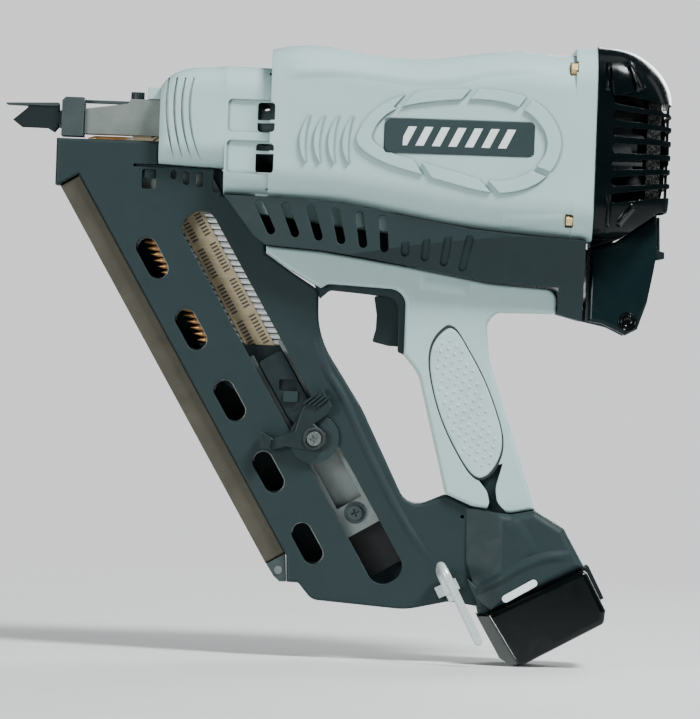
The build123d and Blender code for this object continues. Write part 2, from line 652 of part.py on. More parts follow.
def contact_foot():
    """Two cheeks beside the nail's path, each ending in a tooth."""
    cheek = [
        (-26, -1.5), (-18, 5.5), (-17.5, 7), (-0.5, 7), (-0.5, 3.4), (1.6, 3.4), (1.6, -3), (-0.5, -3),
        (-0.5, -4.4), (-3, -7.4), (-7, -5.1), (-21.5, -5),
    ]
    foot = side(outline(cheek), 6.9, 9.3) + side(outline(cheek), -9.3, -6.9)
    bridge = side(outline([(-17.5, 5.4), (-0.5, 5.4), (-0.5, 7), (-17.5, 7)]), -9.3, 9.3)
    return foot + bridge


def toe_plate():
    return side(outline([(-30, 7.3), (-30, 8.0), (-0.6, 9.0), (-0.6, 7.1), (-18, 7.1)]), -10, 10)


# ---- handle -------------------------------------------------------------------------------------------

GRIP_ROUNDING = 2.2
INLAY_POINTS = [
    (222, -111), (214.7, -121), (215.3, -141), (221.5, -161), (231.5, -180.5), (244.5, -193.4),
    (254.6, -181), (253, -160), (245, -140), (233, -119),
]
INLAY_MIDDLE = (235.0, -152.0)


def inlay_face(size=1.0):
    points = [tuple(m + size * (p - m) for p, m in zip(point, INLAY_MIDDLE)) for point in INLAY_POINTS]
    return make_face(Spline(*points, periodic=True))


def grip(sign):
    """One overmoulded shell, hollow over the core, with a seat for the soft pad."""
    shell = rounded_side(cornered(GRIP_CORNERS), SPLIT_GAP, GRIP_HALF, GRIP_ROUNDING)
    shell -= side(offset(cornered(CORE_CORNERS), 0.15), -1, CORE_HALF + 0.15)
    shell -= block(176, 209.4, -1, 8.8, -128.4, -91.2)
    shell -= side(cornered(LOBE_GAP), -1, 60)
    shell -= disc(196, 302, FUEL_R + 1.4, 0, FUEL_AXIS_Z)
    shell -= side(inlay_face(1.045), GRIP_HALF - 1.6, 60)
    corner = outline([(108, -60), (140, -60), (140, -74), (119.3, -70)])
    shell -= side(corner, -1, MAGAZINE_HALF + 0.2) & block(100, 120.6, 0, 60, -80, -60)
    return shell if sign > 0 else mirror(shell, Plane.XZ)


def inlay(sign):
    """Dotted soft pad of one side."""
    pad = rounded_side(inlay_face(), GRIP_HALF - 1.5, GRIP_HALF + 0.6, 0.9)
    return pad if sign > 0 else mirror(pad, Plane.XZ)


def trigger():
    shape = [
        (181, -93.4), (200.6, -93.4), (201.4, -103), (197, -107), (197, -121.5), (190, -121.3),
        (180.8, -119.2), (182.6, -112), (182.8, -104),
    ]
    lever = side(outline(shape, 1.2), -8, 8)
    return lever - pin(*TRIGGER_PIVOT, 2.06, -10, 10) - block(189, 200, -5.5, 5.5, -118, -104)


def trigger_pin():
    return pin(*TRIGGER_PIVOT, 2.0, -10.3, 10.3)


def trigger_spring():
    """Compression spring between the trigger and the switch."""
    turns = [Pos(198.2 + 1.6 * k, 0, -109) * Rot(0, 90, 0) * Torus(3.2, 0.5) for k in range(4)]
    return Compound(children=turns)


def trigger_switch():
    body = block(210, 224, -7, 7, -124, -100)
    return body + block(205.4, 210.1, -3, 3, -121, -116)


def charge_bar():
    bar = Pos(268.5, -256) * Rot(0, 0, 31) * SlotOverall(22, 4.2)
    return side(bar, -FOOT_HALF - 0.4, -FOOT_HALF + 1.1)


SCREW_PLACES = (magazine(30, 16.5), magazine(130, 16.5), magazine(222, 16.5), (138, -105), (226, -236))


def housing_screws():
    """Screws that close the clamshell from the right side."""
    screws = []
    for x, z in SCREW_PLACES:
        cross = Pos(x, z) * (Rectangle(4, 0.9) + Rectangle(0.9, 4))
        screws.append(pin(x, z, 3.1, 12.5, 14.6) + pin(x, z, 1.5, 2, 12.6) - side(cross, 13.4, 16))
    return Compound(children=screws)


# ---- magazine -----------------------------------------------------------------------------------------


def magazine_rail():
    """Aluminium edge rail: a flat bar with a folded rear lip."""
    rail = bar_in_magazine(0, RAIL_LENGTH, 0, RAIL_WIDTH, -11, 11)
    rail = chamfer(rail.edges().filter_by(Plane.XZ), 0.8)
    return rail - bar_in_magazine(-1, RAIL_LENGTH - 3, 3, RAIL_WIDTH + 1, -8.4, 8.4)


def rail_end_cap():
    cap = [magazine(242.8, 0.2), magazine(242.8, RAIL_WIDTH)]
    cap += [(136.4, -243.4), (137.1, -256), (133.4, -256), (130, -253)]
    shape = side(outline(cap), -12.2, 12.2)
    return shape - pin(132.6, -249.6, 1.75, -20, 20)


def rail_rivet():
    shank = pin(132.6, -249.6, 1.7, -12.4, 12.4)
    return shank + pin(132.6, -249.6, 2.3, 12.2, 12.9) + pin(132.6, -249.6, 2.3, -12.9, -12.2)


CHANNEL_LIMITS = [(0, -24.6), (94, -24.6), (300, -120), (300, -263.5), (150, -263.5), (0, -60)]


def nail_channel():
    """Folded steel magazine: a flat box with windows and the feeder's slot."""
    box = bar_in_magazine(-14, 278, 21.2, 77.6, -5.6, 5.6) - bar_in_magazine(-20, 290, 22.2, 76.6, -4.5, 4.5)
    box &= side(outline(CHANNEL_LIMITS), -6, 6)
    box -= side(windows(-1.4), -60, 60)
    box -= bar_in_magazine(SLOT_TOP - 1, 136, SLOT_LOW - 0.6, SLOT_HIGH + 0.6, -60, 0)
    box -= bar_in_magazine(130, 235, SLOT_LOW + 2.2, SLOT_HIGH - 2.2, -60, 0)
    box -= bar_in_magazine(252, 300, SLOT_LOW, SLOT_HIGH, -60, 0)
    return box - pin(*magazine(241.5, 57.8), 1.6, -60, 0)


def track_screw():
    """Screw and washer that fix the channel to the left half."""
    place = magazine(241.5, 57.8)
    washer = pin(*place, 6.2, -7.4, -5.7)
    head = pin(*place, 4.0, -9.6, -7.4) + pin(*place, 1.5, -5.8, -4.6)
    cross = Pos(*place) * Rot(0, 0, 20) * (Rectangle(4.6, 1) + Rectangle(1, 4.6))
    return washer + head - side(cross, -12, -8.2)


def nail(number):
    """One nail lying along X, its head clipped towards the next nail."""
    z = -NAIL_DROP * number
    back = NAIL_HEAD_X - z * math.tan(math.radians(MAGAZINE_TILT))
    point = Plane.YZ.offset(back - NAIL_LENGTH) * Circle(0.15)
    shoulder = Plane.YZ.offset(back - NAIL_LENGTH + POINT_LENGTH) * Circle(SHANK_R)
    tip = loft([point, shoulder])
    head = disc(back - HEAD_THICK, back, HEAD_R) & block(back - 2, back + 1, -5, 5, -1.75, 1.6)
    shank = disc(back - NAIL_LENGTH + POINT_LENGTH, back - HEAD_THICK, SHANK_R)
    return Pos(0, 0, z) * (tip + shank + head)


def nails():
    return Compound(children=[nail(k) for k in range(1, NAIL_COUNT + 1)])


def paper_tape():
    """Two paper strips, one on each face of the nails."""
    top, foot = -2.2, -NAIL_DROP * NAIL_COUNT - 1.6
    lean = math.tan(math.radians(MAGAZINE_TILT))
    front, rear = 36.3, 53.2
    shape = [(front - top * lean, top), (rear - top * lean, top)]
    shape += [(rear - foot * lean, foot), (front - foot * lean, foot)]
    return both_sides(side(outline(shape), SHANK_R + 0.05, SHANK_R + 0.45))


def feeder_slider():
    """Black pusher that runs in the channel behind the last nail."""
    top = -NAIL_DROP * NAIL_COUNT - 1.9
    pusher = [level(26, top), level(74.5, top), magazine(172, 72), magazine(178, 46), magazine(142, 28)]
    slider = side(outline(pusher), -4.2, 4.2)
    slider += side(in_magazine(160, 57.8, RectangleRounded(38, 14.4, 2)), -11.6, 3.8)
    slider += side(in_magazine(187, 57.8, RectangleRounded(24, 12, 2)), -15.4, 3.8)
    slider -= side(Pos(134.5, -145.5) * RectangleRounded(10.5, 6.5, 1), -12, -9)
    slider -= side(in_magazine(152, 40.5, Circle(6.4)), -5, 5)
    return slider - side(in_magazine(LEVER_U, LEVER_V, Circle(1.9)), -20, -13)


def feeder_fittings():
    """Bent metal tab on the pusher, and the round plate that the lever turns on."""
    x, z = magazine(168, 57)
    tab = side(Pos(x - 0.6, z + 1.2) * RectangleRounded(8, 6, 1), -13.4, -11.7)
    plate = side(in_magazine(LEVER_U, LEVER_V, Circle(14)), -17.2, -15.5)
    plate -= side(in_magazine(LEVER_U, LEVER_V, Circle(1.9)), -20, -10)
    return Compound(children=[tab, plate])


def feeder_spring():
    """Ribbon spring coiled on the pusher, seen from the side as a spiral."""
    turns = [Circle(6 - 1.3 * k) - Circle(5.4 - 1.3 * k) for k in range(3)]
    return Compound(children=[side(in_magazine(152, 40.5, turn), -4.1, 4.1) for turn in turns])


def lever_screw():
    place = magazine(LEVER_U, LEVER_V)
    head = pin(*place, 4.0, -23.6, -21.8) + pin(*place, 1.85, -21.9, -15.0)
    cross = Pos(*place) * Rot(0, 0, 15) * (Rectangle(5, 1.1) + Rectangle(1.1, 5))
    return head - side(cross, -24, -22.6)


def feeder_lever():
    """The wing that the thumb pulls, with ribs at its end."""
    wing = [
        (120, -172), (127, -175.6), (139, -170.6), (141.4, -161.5), (143.5, -156.8), (154, -146.4),
        (160, -156.6), (157.6, -161), (150, -166.6), (157, -172), (155, -181), (146, -181.6),
        (135, -180), (126, -182.4), (120.4, -181),
    ]
    lever = fillet(rim(side(outline(wing), -21.6, -17.5), -21.6), 1.0)
    lever += side(in_magazine(LEVER_U, LEVER_V, Circle(6.6)), -21.6, -17.5)
    for k in range(4):
        rib = Pos(147.0 + 2.6 * k, -152.6 - 0.4 * k) * Rot(0, 0, 40) * SlotOverall(9, 1.2)
        lever += side(rib, -23.2, -21)
    foot = side(outline([(120, -172), (126, -175), (125.6, -182), (120.4, -181)]), -25.5, -18)
    return lever + foot - side(in_magazine(LEVER_U, LEVER_V, Circle(1.92)), -30, -10)


# ---- battery ------------------------------------------------------------------------------------------

BATTERY_OUTLINE = [
    (304.7, -242.3), (317, -265), (316.4, -272.5), (273, -296.8), (265, -298.4), (258, -294),
    (243.6, -271.2), (253.2, -268.7),
]


BAND_ROOM = [(240, -266), (252.4, -270.4), (269.4, -296.6), (262, -304), (236, -280)]


def battery_case():
    """The pack's case, with the tower that plugs into the foot and a seat for the latch."""
    case = side(outline(BATTERY_OUTLINE, 3.5), -BATTERY_HALF, BATTERY_HALF)
    case = fillet(rim(case, BATTERY_HALF), 3.0)
    case = fillet(rim(case, -BATTERY_HALF), 3.0)
    case -= side(outline(BAND_ROOM), -60, 60)
    case -= battery_box(2.6, 30.6, -16, 21.4, -BATTERY_HALF + 2.4, BATTERY_HALF - 2.4)
    case -= battery_box(-3, 21.4, 23.6, 40, -14.4, 14.4)
    case += battery_box(-26, 2.7, -14, 14, -17.5, 17.5)
    return case - battery_box(-27, -23.6, -0.9, 0.9, -13.5, 13.5)


def battery_band():
    """Light cover on the front of the battery."""
    shape = [(245.2, -271.3), (252.2, -270.8), (269, -296.4), (265.4, -298), (258.4, -293.8)]
    return side(outline(shape), -26.4, 26.4)


def battery_cells():
    """Two rows of cells lying across the pack."""
    cells = []
    for along in (9.4, 22.4):
        for across in (-9.4, 3.0, 15.4):
            cells.append(pin(*battery_point(along, across), 5.7, -22, 22))
    return Compound(children=cells)


def battery_latch():
    """Ribbed release button on the pack's rear edge."""
    latch = battery_box(0.4, 20.6, 26.4, 31.4, -14, 14)
    for k in range(5):
        latch -= battery_box(2.6 + 3.6 * k, 3.8 + 3.6 * k, 30.6, 33, -12, 12)
    return latch


def battery_terminals():
    blades = [battery_box(-30, -24.2, -0.5, 0.5, y - 3, y + 3) for y in (-9, 0, 9)]
    return Compound(children=blades)


def control_board():
    board = battery_box(-32.2, -30.6, -15, 13, -17, 17)
    return board + battery_box(-35.4, -32, -8, 3, -6, 6)


# ---- hook ---------------------------------------------------------------------------------------------

HOOK_R = 2.4
HOOK_LINE = [(231.5, -19, -263), (223.5, -19, -247.5), (223.5, -50, -241.5), (245.6, -50, -284)]


def hook():
    """Round steel bar bent into a U that hangs over a beam."""
    path = FilletPolyline(*HOOK_LINE, radius=7)
    start = Plane(origin=HOOK_LINE[0], z_dir=Vector(*HOOK_LINE[1]) - Vector(*HOOK_LINE[0]))
    return sweep(start * Circle(HOOK_R), path) + Pos(*HOOK_LINE[-1]) * Sphere(HOOK_R)


def hook_bracket():
    """Clamp on the housing that the short leg turns in."""
    lower, upper = Vector(*HOOK_LINE[0]), Vector(*HOOK_LINE[1])
    way = (upper - lower).normalized()
    seat = Plane(origin=lower + way * 4.5, x_dir=(0, 1, 0), z_dir=way)
    collar = extrude(seat * Circle(3.85), amount=6.5)
    collar += extrude(seat * Pos(2, 0) * Rectangle(3.9, 13), amount=6.5)
    collar -= extrude(seat.offset(-2) * Circle(HOOK_R + 0.06), amount=12)
    return collar


def main():
    right = housing_right_half()
    nodes = {
        "housing_right": right - screw_seats(),
        "housing_left": housing_left_half(right),
        "cylinder_housing": cylinder_housing(),
        "badge_plates": badge_plates(),
        "cover_bolts": cover_bolts(),
        "head_cover": head_cover(),
        "fuel_door": fuel_door(),
        "door_pin": door_pin(),
        "door_latch": door_latch(),
        "fuel_cell": fuel_cell(),
        "cylinder_head": cylinder_head(),
        "fan_motor": fan_motor(),
        "fan": fan(),
        "spark_plug": spark_plug(),
        "air_filter": air_filter(),
        "cylinder": cylinder(),
        "bumper": bumper(),
        "front_cap": front_cap(),
        "chamber_sleeve": chamber_sleeve(),
        "chamber_seals": chamber_seals(),
        "piston": piston(),
        "piston_ring": piston_ring(),
        "driver_blade": driver_blade(),
        "nose_guide": nose_guide(),
        "nose_bolts": nose_bolts(),
        "contact_bracket": contact_bracket(),
        "contact_strap": contact_strap(),
        "depth_knob": depth_knob(),
        "contact_foot": contact_foot(),
        "toe_plate": toe_plate(),
        "grip_right": grip(1),
        "grip_left": grip(-1),
        "inlay_right": inlay(1),
        "inlay_left": inlay(-1),
        "trigger": trigger(),
        "trigger_pin": trigger_pin(),
        "trigger_spring": trigger_spring(),
        "trigger_switch": trigger_switch(),
        "control_board": control_board(),
        "charge_bar": charge_bar(),
        "housing_screws": Compound(children=[housing_screws(), track_screw()]),
        "magazine_rail": magazine_rail(),
        "rail_end_cap": rail_end_cap(),
        "rail_rivet": rail_rivet(),
        "nail_channel": nail_channel(),
        "nails": nails(),
        "driven_nail": nail(0),
        "paper_tape": paper_tape(),
        "feeder_slider": feeder_slider(),
        "feeder_fittings": feeder_fittings(),
        "feeder_spring": feeder_spring(),
        "feeder_lever": feeder_lever(),
        "lever_screw": lever_screw(),
        "battery_case": battery_case(),
        "battery_band": battery_band(),
        "battery_cells": battery_cells(),
        "battery_latch": battery_latch(),
        "battery_terminals": battery_terminals(),
        "hook": hook(),
        "hook_bracket": hook_bracket(),
    }
    for name, part in nodes.items():
        save(part, name)
    print(len(nodes), "nodes")


if __name__ == "__main__":
    main()
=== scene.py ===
import json
import math
import bmesh
import bpy
from mathutils import Matrix, Vector
from mathutils.bvhtree import BVHTree


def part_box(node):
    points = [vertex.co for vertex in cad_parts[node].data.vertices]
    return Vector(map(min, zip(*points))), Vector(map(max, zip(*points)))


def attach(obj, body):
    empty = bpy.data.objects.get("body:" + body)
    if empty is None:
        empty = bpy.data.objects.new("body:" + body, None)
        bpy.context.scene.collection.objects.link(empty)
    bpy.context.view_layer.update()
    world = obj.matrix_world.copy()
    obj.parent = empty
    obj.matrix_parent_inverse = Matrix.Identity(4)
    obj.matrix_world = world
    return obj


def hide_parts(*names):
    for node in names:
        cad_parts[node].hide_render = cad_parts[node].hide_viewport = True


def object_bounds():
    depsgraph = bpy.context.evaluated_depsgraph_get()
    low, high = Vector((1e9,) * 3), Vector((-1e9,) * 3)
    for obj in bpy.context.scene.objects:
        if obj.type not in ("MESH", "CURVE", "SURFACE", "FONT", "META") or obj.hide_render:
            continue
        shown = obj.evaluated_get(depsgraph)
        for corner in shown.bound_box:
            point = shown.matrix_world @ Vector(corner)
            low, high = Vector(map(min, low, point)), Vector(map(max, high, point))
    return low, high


# Looks of a cordless framing nailer, in the frame of the CAD: X rearward, Z up, left side towards -Y.
# Blender works in metres. The points of shapes are given in millimetres, and MM turns them into metres.

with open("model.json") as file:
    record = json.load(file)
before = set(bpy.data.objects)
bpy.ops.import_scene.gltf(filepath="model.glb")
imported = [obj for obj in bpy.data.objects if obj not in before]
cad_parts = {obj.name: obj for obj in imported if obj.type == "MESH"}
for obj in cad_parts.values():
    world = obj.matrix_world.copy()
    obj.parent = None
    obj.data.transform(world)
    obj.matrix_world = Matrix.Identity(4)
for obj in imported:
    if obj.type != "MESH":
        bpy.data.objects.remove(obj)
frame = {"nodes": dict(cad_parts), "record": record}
cad_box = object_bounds()

MM = 0.001
LOW, HIGH = (Vector(corner) for corner in cad_box)

# Camera: a long lens that looks squarely at the left side, held slightly askew
CAMERA_DISTANCE = 3.3
CAMERA_LENS = 300.0
VIEW_WIDTH = 0.3955
VIEW_ROLL = math.radians(2.1)
VIEW_MIDDLE = (0.1687, -0.1297)

# Magazine direction, as in the CAD
MAGAZINE_TILT = math.radians(30.6)
RAIL_CORNER = (2.0, -37.5)

# The channel's pocket is painted black as shade: where the painted shade starts down the magazine, its soft
# edge, and the y of the wall
CHANNEL_SHADE_START = 0.2515
SHADE_SOFT_EDGE = 0.0004
CHANNEL_INNER_FACE = (-0.0053, -0.0048)

SMOOTH_ANGLE = math.radians(32)
PROBE_DISTANCE = 0.2


# ---- node helpers -------------------------------------------------------------------------------------

class Nodes:
    """A material being built: short calls for the nodes that this scene uses."""

    def __init__(self, name):
        self.material = bpy.data.materials.new(name)
        self.material.use_nodes = True
        self.tree = self.material.node_tree
        self.tree.nodes.clear()
        self.output = self.tree.nodes.new("ShaderNodeOutputMaterial")
        self.shader = self.tree.nodes.new("ShaderNodeBsdfPrincipled")
        self.link(self.shader.outputs[0], self.output.inputs["Surface"])
        self.place = self.tree.nodes.new("ShaderNodeTexCoord").outputs["Object"]

    def link(self, source, target):
        self.tree.links.new(source, target)

    def put(self, node, name, value):
        """Sets an input to a number, or links another node's output to it."""
        target = node.inputs[name]
        if isinstance(value, bpy.types.NodeSocket):
            self.link(value, target)
        else:
            target.default_value = value

    def noise(self, scale, detail=3.0, place=None, roughness=0.55, distortion=0.0):
        node = self.tree.nodes.new("ShaderNodeTexNoise")
        self.put(node, "Vector", place or self.place)
        self.put(node, "Scale", scale)
        self.put(node, "Detail", detail)
        self.put(node, "Roughness", roughness)
        self.put(node, "Distortion", distortion)
        return node.outputs["Fac"]

    def spread(self, value, low, high, start=0.0, end=1.0):
        """Maps a value from one range to another, clamped."""
        node = self.tree.nodes.new("ShaderNodeMapRange")
        self.put(node, "Value", value)
        self.put(node, "From Min", low)
        self.put(node, "From Max", high)
        self.put(node, "To Min", start)
        self.put(node, "To Max", end)
        return node.outputs[0]

    def maths(self, operation, a, b=0.0):
        node = self.tree.nodes.new("ShaderNodeMath")
        node.operation = operation
        self.put(node, 0, a)
        self.put(node, 1, b)
        return node.outputs[0]

    def vector(self, operation, a, b):
        node = self.tree.nodes.new("ShaderNodeVectorMath")
        node.operation = operation
        self.put(node, 0, a)
        self.put(node, 1, b)
        return node.outputs["Value" if operation == "DOT_PRODUCT" else "Vector"]

    def mix(self, share, a, b):
        node = self.tree.nodes.new("ShaderNodeMix")
        node.data_type = "RGBA"
        self.put(node, 0, share)
        self.put(node, 6, a)
        self.put(node, 7, b)
        return node.outputs[2]

    def stretch(self, factors):
        return self.vector("MULTIPLY", self.place, factors)

    def bump(self, height, strength, depth, normal=None):
        node = self.tree.nodes.new("ShaderNodeBump")
        self.put(node, "Height", height)
        self.put(node, "Strength", strength)
        self.put(node, "Distance", depth)
        if normal is not None:
            self.put(node, "Normal", normal)
        return node.outputs[0]

    def rounded_normal(self, radius):
        node = self.tree.nodes.new("ShaderNodeBevel")
        node.samples = 4
        self.put(node, "Radius", radius)
        return node.outputs[0]

    def edge_share(self, normal):
        """1 on sharp edges, 0 on open surfaces, broken up so that the wear is uneven."""
        flat = self.tree.nodes.new("ShaderNodeNewGeometry").outputs["Normal"]
        turn = self.vector("DOT_PRODUCT", normal, flat)
        edge = self.spread(turn, 0.995, 0.86)
        return self.maths("MULTIPLY", edge, self.spread(self.noise(90, 4), 0.42, 0.62))

    def painted_crease_shade(self, distance):
        """0 deep in a groove or corner, 1 on open surfaces: painted shade where less light reaches, which
        also stands for grime settling there.
        """
        node = self.tree.nodes.new("ShaderNodeAmbientOcclusion")
        node.samples = 6
        self.put(node, "Distance", distance)
        return self.spread(node.outputs["AO"], 0.35, 0.95)


def tint(colour, factor):
    return (*[min(1.0, channel * factor) for channel in colour], 1.0)


def moulded(name, colour, roughness, grain=2200.0, depth=0.05, mottle=0.05, edge_light=1.5, edge_round=0.45,
            coat=0.0, specular=0.5, grime_and_shade=0.55):
    """Moulded plastic: fine spark-eroded grain, faint flow marks, handled patches, edges rubbed lighter."""
    nodes = Nodes(name)
    normal = nodes.rounded_normal(edge_round * MM)
    wide = nodes.spread(nodes.noise(28, 4, distortion=0.6), 0.3, 0.7)
    fine = nodes.noise(grain, 2)
    body = nodes.mix(wide, tint(colour, 1 - mottle), tint(colour, 1 + mottle))
    speck = nodes.mix(nodes.spread(fine, 0.35, 0.65), tint(colour, 0.9), tint(colour, 1.08))
    skin = nodes.mix(0.45, body, speck)
    # painted shade: grooves and corners darkened in the base colour, partly also grime
    skin = nodes.mix(nodes.painted_crease_shade(2.2 * MM), tint(colour, grime_and_shade), skin)
    nodes.put(nodes.shader, "Base Color", nodes.mix(nodes.edge_share(normal), skin, tint(colour, edge_light)))
    handled = nodes.spread(nodes.noise(70, 5, distortion=1.2), 0.35, 0.7, roughness - 0.07, roughness + 0.06)
    nodes.put(nodes.shader, "Roughness", handled)
    nodes.put(nodes.shader, "Specular IOR Level", specular)
    nodes.put(nodes.shader, "Coat Weight", coat)
    nodes.put(nodes.shader, "Coat Roughness", 0.12)
    nodes.put(nodes.shader, "Normal", nodes.bump(fine, 0.6, depth * MM, normal))
    return nodes.material


def metal(name, colour, roughness, brushed=(1.0, 1.0, 1.0), grain=900.0, depth=0.03, metallic=1.0,
          stain=0.75, edge_light=1.5, edge_round=0.3, painted_shade_from=None):
    """Bare, brushed, blasted or plated metal: directional grain, stains, polished edges.

    Inside the magazine it is painted near-black from the given distance onwards, as painted shade in the
    channel's pocket, where one is given."""
    nodes = Nodes(name)
    normal = nodes.rounded_normal(edge_round * MM)
    grained = nodes.noise(grain, 4, nodes.stretch(brushed))
    cloud = nodes.spread(nodes.noise(45, 5, distortion=0.8), 0.32, 0.68)
    body = nodes.mix(cloud, tint(colour, stain), tint(colour, 1.08))
    body = nodes.mix(nodes.spread(grained, 0.3, 0.7, 0.0, 0.5), body, tint(colour, 0.82))
    finish = nodes.mix(nodes.edge_share(normal), body, tint(colour, edge_light))
    # painted shade: the channel's inner face turns near-black and non-metallic down in its pocket
    if painted_shade_from is not None:
        below = nodes.spread(magazine_place(nodes, False), painted_shade_from, painted_shade_from + SHADE_SOFT_EDGE)
        inner = nodes.spread(nodes.vector("DOT_PRODUCT", nodes.place, (0, 1, 0)), *CHANNEL_INNER_FACE)
        share = nodes.maths("MULTIPLY", below, inner)
        finish = nodes.mix(share, finish, (0.002, 0.003, 0.003, 1))
        metallic = nodes.maths("MULTIPLY", nodes.maths("SUBTRACT", 1.0, share), metallic)
    nodes.put(nodes.shader, "Base Color", finish)
    nodes.put(nodes.shader, "Metallic", metallic)
    nodes.put(nodes.shader, "Roughness", nodes.spread(grained, 0.25, 0.75, roughness - 0.08, roughness + 0.1))
    nodes.put(nodes.shader, "Normal", nodes.bump(grained, 0.5, depth * MM, normal))
    return nodes.material


def elastomer(name, colour, roughness=0.7, grain=1400.0):
    """Soft rubber: matt, with a dry bloom and a faint sheen."""
    nodes = Nodes(name)
    normal = nodes.rounded_normal(0.3 * MM)
    bloom = nodes.spread(nodes.noise(60, 5, distortion=1.0), 0.35, 0.7)
    fine = nodes.noise(grain, 3)
    nodes.put(nodes.shader, "Base Color", nodes.mix(bloom, tint(colour, 0.9), tint(colour, 1.08)))
    nodes.put(nodes.shader, "Roughness", nodes.spread(fine, 0.3, 0.7, roughness - 0.06, roughness + 0.08))
    nodes.put(nodes.shader, "Sheen Weight", 0.15)
    nodes.put(nodes.shader, "Sheen Roughness", 0.5)
    nodes.put(nodes.shader, "Normal", nodes.bump(fine, 0.5, 0.04 * MM, normal))
    return nodes.material


def magazine_place(nodes, across):
    """Distance in metres across (or down) the magazine, from the rail's corner."""
    down = (math.sin(MAGAZINE_TILT), 0.0, -math.cos(MAGAZINE_TILT))
    way = (math.cos(MAGAZINE_TILT), 0.0, math.sin(MAGAZINE_TILT)) if across else down
    start = Vector((RAIL_CORNER[0] * MM, 0, RAIL_CORNER[1] * MM)).dot(Vector(way))
    return nodes.maths("SUBTRACT", nodes.vector("DOT_PRODUCT", nodes.place, way), start)


def coated_nails():
    """Bright shanks at the head end, copper-coloured coating towards the points."""
    nodes = Nodes("coated_nails")
    copper_until, bright_from, raggedness = 0.046, 0.05, 0.004
    across = magazine_place(nodes, True)
    ragged = nodes.maths("ADD", across, nodes.maths("MULTIPLY", nodes.noise(300, 2), raggedness))
    share = nodes.spread(ragged, copper_until, bright_from)
    drawn = nodes.noise(500, 4, nodes.stretch((0.15, 1, 1)))
    copper = nodes.mix(nodes.spread(drawn, 0.3, 0.7), (0.55, 0.25, 0.08, 1), (0.86, 0.48, 0.2, 1))
    bright = nodes.mix(nodes.spread(drawn, 0.3, 0.7), (0.75, 0.76, 0.74, 1), (0.95, 0.96, 0.95, 1))
    nodes.put(nodes.shader, "Base Color", nodes.mix(share, copper, bright))
    nodes.put(nodes.shader, "Metallic", 0.4)
    nodes.put(nodes.shader, "Roughness", nodes.spread(drawn, 0.3, 0.7, 0.24, 0.42))
    nodes.put(nodes.shader, "Normal", nodes.bump(drawn, 0.4, 0.03 * MM))
    return nodes.material


def kraft_paper():
    """Brown collating tape with fibres and two columns of plain printed bars."""
    nodes = Nodes("kraft_paper")
    fibres = nodes.noise(700, 5, nodes.stretch((0.3, 1, 1.6)))
    tone = nodes.mix(nodes.spread(fibres, 0.3, 0.7), (0.40, 0.31, 0.19, 1), (0.56, 0.46, 0.30, 1))
    across, down = magazine_place(nodes, True), magazine_place(nodes, False)
    first_column, column_step, half_bar = 0.0012, 0.0078, 0.24
    bar_step, bar_share = 0.0021, 0.52
    block_step, block_share = 0.0231, 0.8
    from_first = nodes.maths("SUBTRACT", across, first_column)
    column = nodes.maths("FRACT", nodes.maths("DIVIDE", from_first, column_step))
    off_middle = nodes.maths("ABSOLUTE", nodes.maths("SUBTRACT", column, 0.5))
    inside = nodes.maths("LESS_THAN", off_middle, half_bar)
    in_bar = nodes.maths("FRACT", nodes.maths("DIVIDE", down, bar_step))
    bars = nodes.maths("LESS_THAN", in_bar, bar_share)
    in_block = nodes.maths("FRACT", nodes.maths("DIVIDE", down, block_step))
    blocks = nodes.maths("LESS_THAN", in_block, block_share)
    worn = nodes.spread(fibres, 0.3, 0.45, 0.6, 0.95)
    printed = nodes.maths("MULTIPLY", inside, nodes.maths("MULTIPLY", bars, blocks))
    ink = nodes.maths("MULTIPLY", printed, worn)
    nodes.put(nodes.shader, "Base Color", nodes.mix(ink, tone, (0.06, 0.05, 0.045, 1)))
    nodes.put(nodes.shader, "Roughness", nodes.spread(fibres, 0.3, 0.7, 0.75, 0.92))
    nodes.put(nodes.shader, "Normal", nodes.bump(fibres, 0.6, 0.05 * MM))
    return nodes.material


def circuit_board():
    """Green board with lighter tracks."""
    nodes = Nodes("circuit_board")
    tracks = nodes.maths("GREATER_THAN", nodes.noise(260, 0, nodes.stretch((1, 3, 1))), 0.56)
    colour = nodes.mix(tracks, (0.01, 0.09, 0.035, 1), (0.03, 0.2, 0.07, 1))
    nodes.put(nodes.shader, "Base Color", colour)
    nodes.put(nodes.shader, "Roughness", nodes.spread(nodes.noise(900), 0.3, 0.7, 0.3, 0.45))
    nodes.put(nodes.shader, "Normal", nodes.bump(tracks, 0.5, 0.03 * MM))
    return nodes.material


def foam():
    """Open-cell filter foam."""
    nodes = Nodes("foam")
    cells = nodes.tree.nodes.new("ShaderNodeTexVoronoi")
    nodes.put(cells, "Vector", nodes.place)
    nodes.put(cells, "Scale", 900.0)
    depth = cells.outputs["Distance"]
    colour = nodes.mix(nodes.spread(depth, 0.1, 0.6), (0.11, 0.11, 0.11, 1), (0.01, 0.01, 0.01, 1))
    nodes.put(nodes.shader, "Base Color", colour)
    nodes.put(nodes.shader, "Roughness", nodes.spread(depth, 0.0, 0.6, 0.85, 1.0))
    nodes.put(nodes.shader, "Normal", nodes.bump(depth, 1.0, 0.4 * MM))
    return nodes.material


# ---- materials by slot --------------------------------------------------------------------------------

CHARCOAL = (0.0135, 0.0255, 0.0275)
HOUSING_GREY = (0.37, 0.51, 0.50)
ALONG_MAGAZINE = (2.0, 1.0, 0.6)

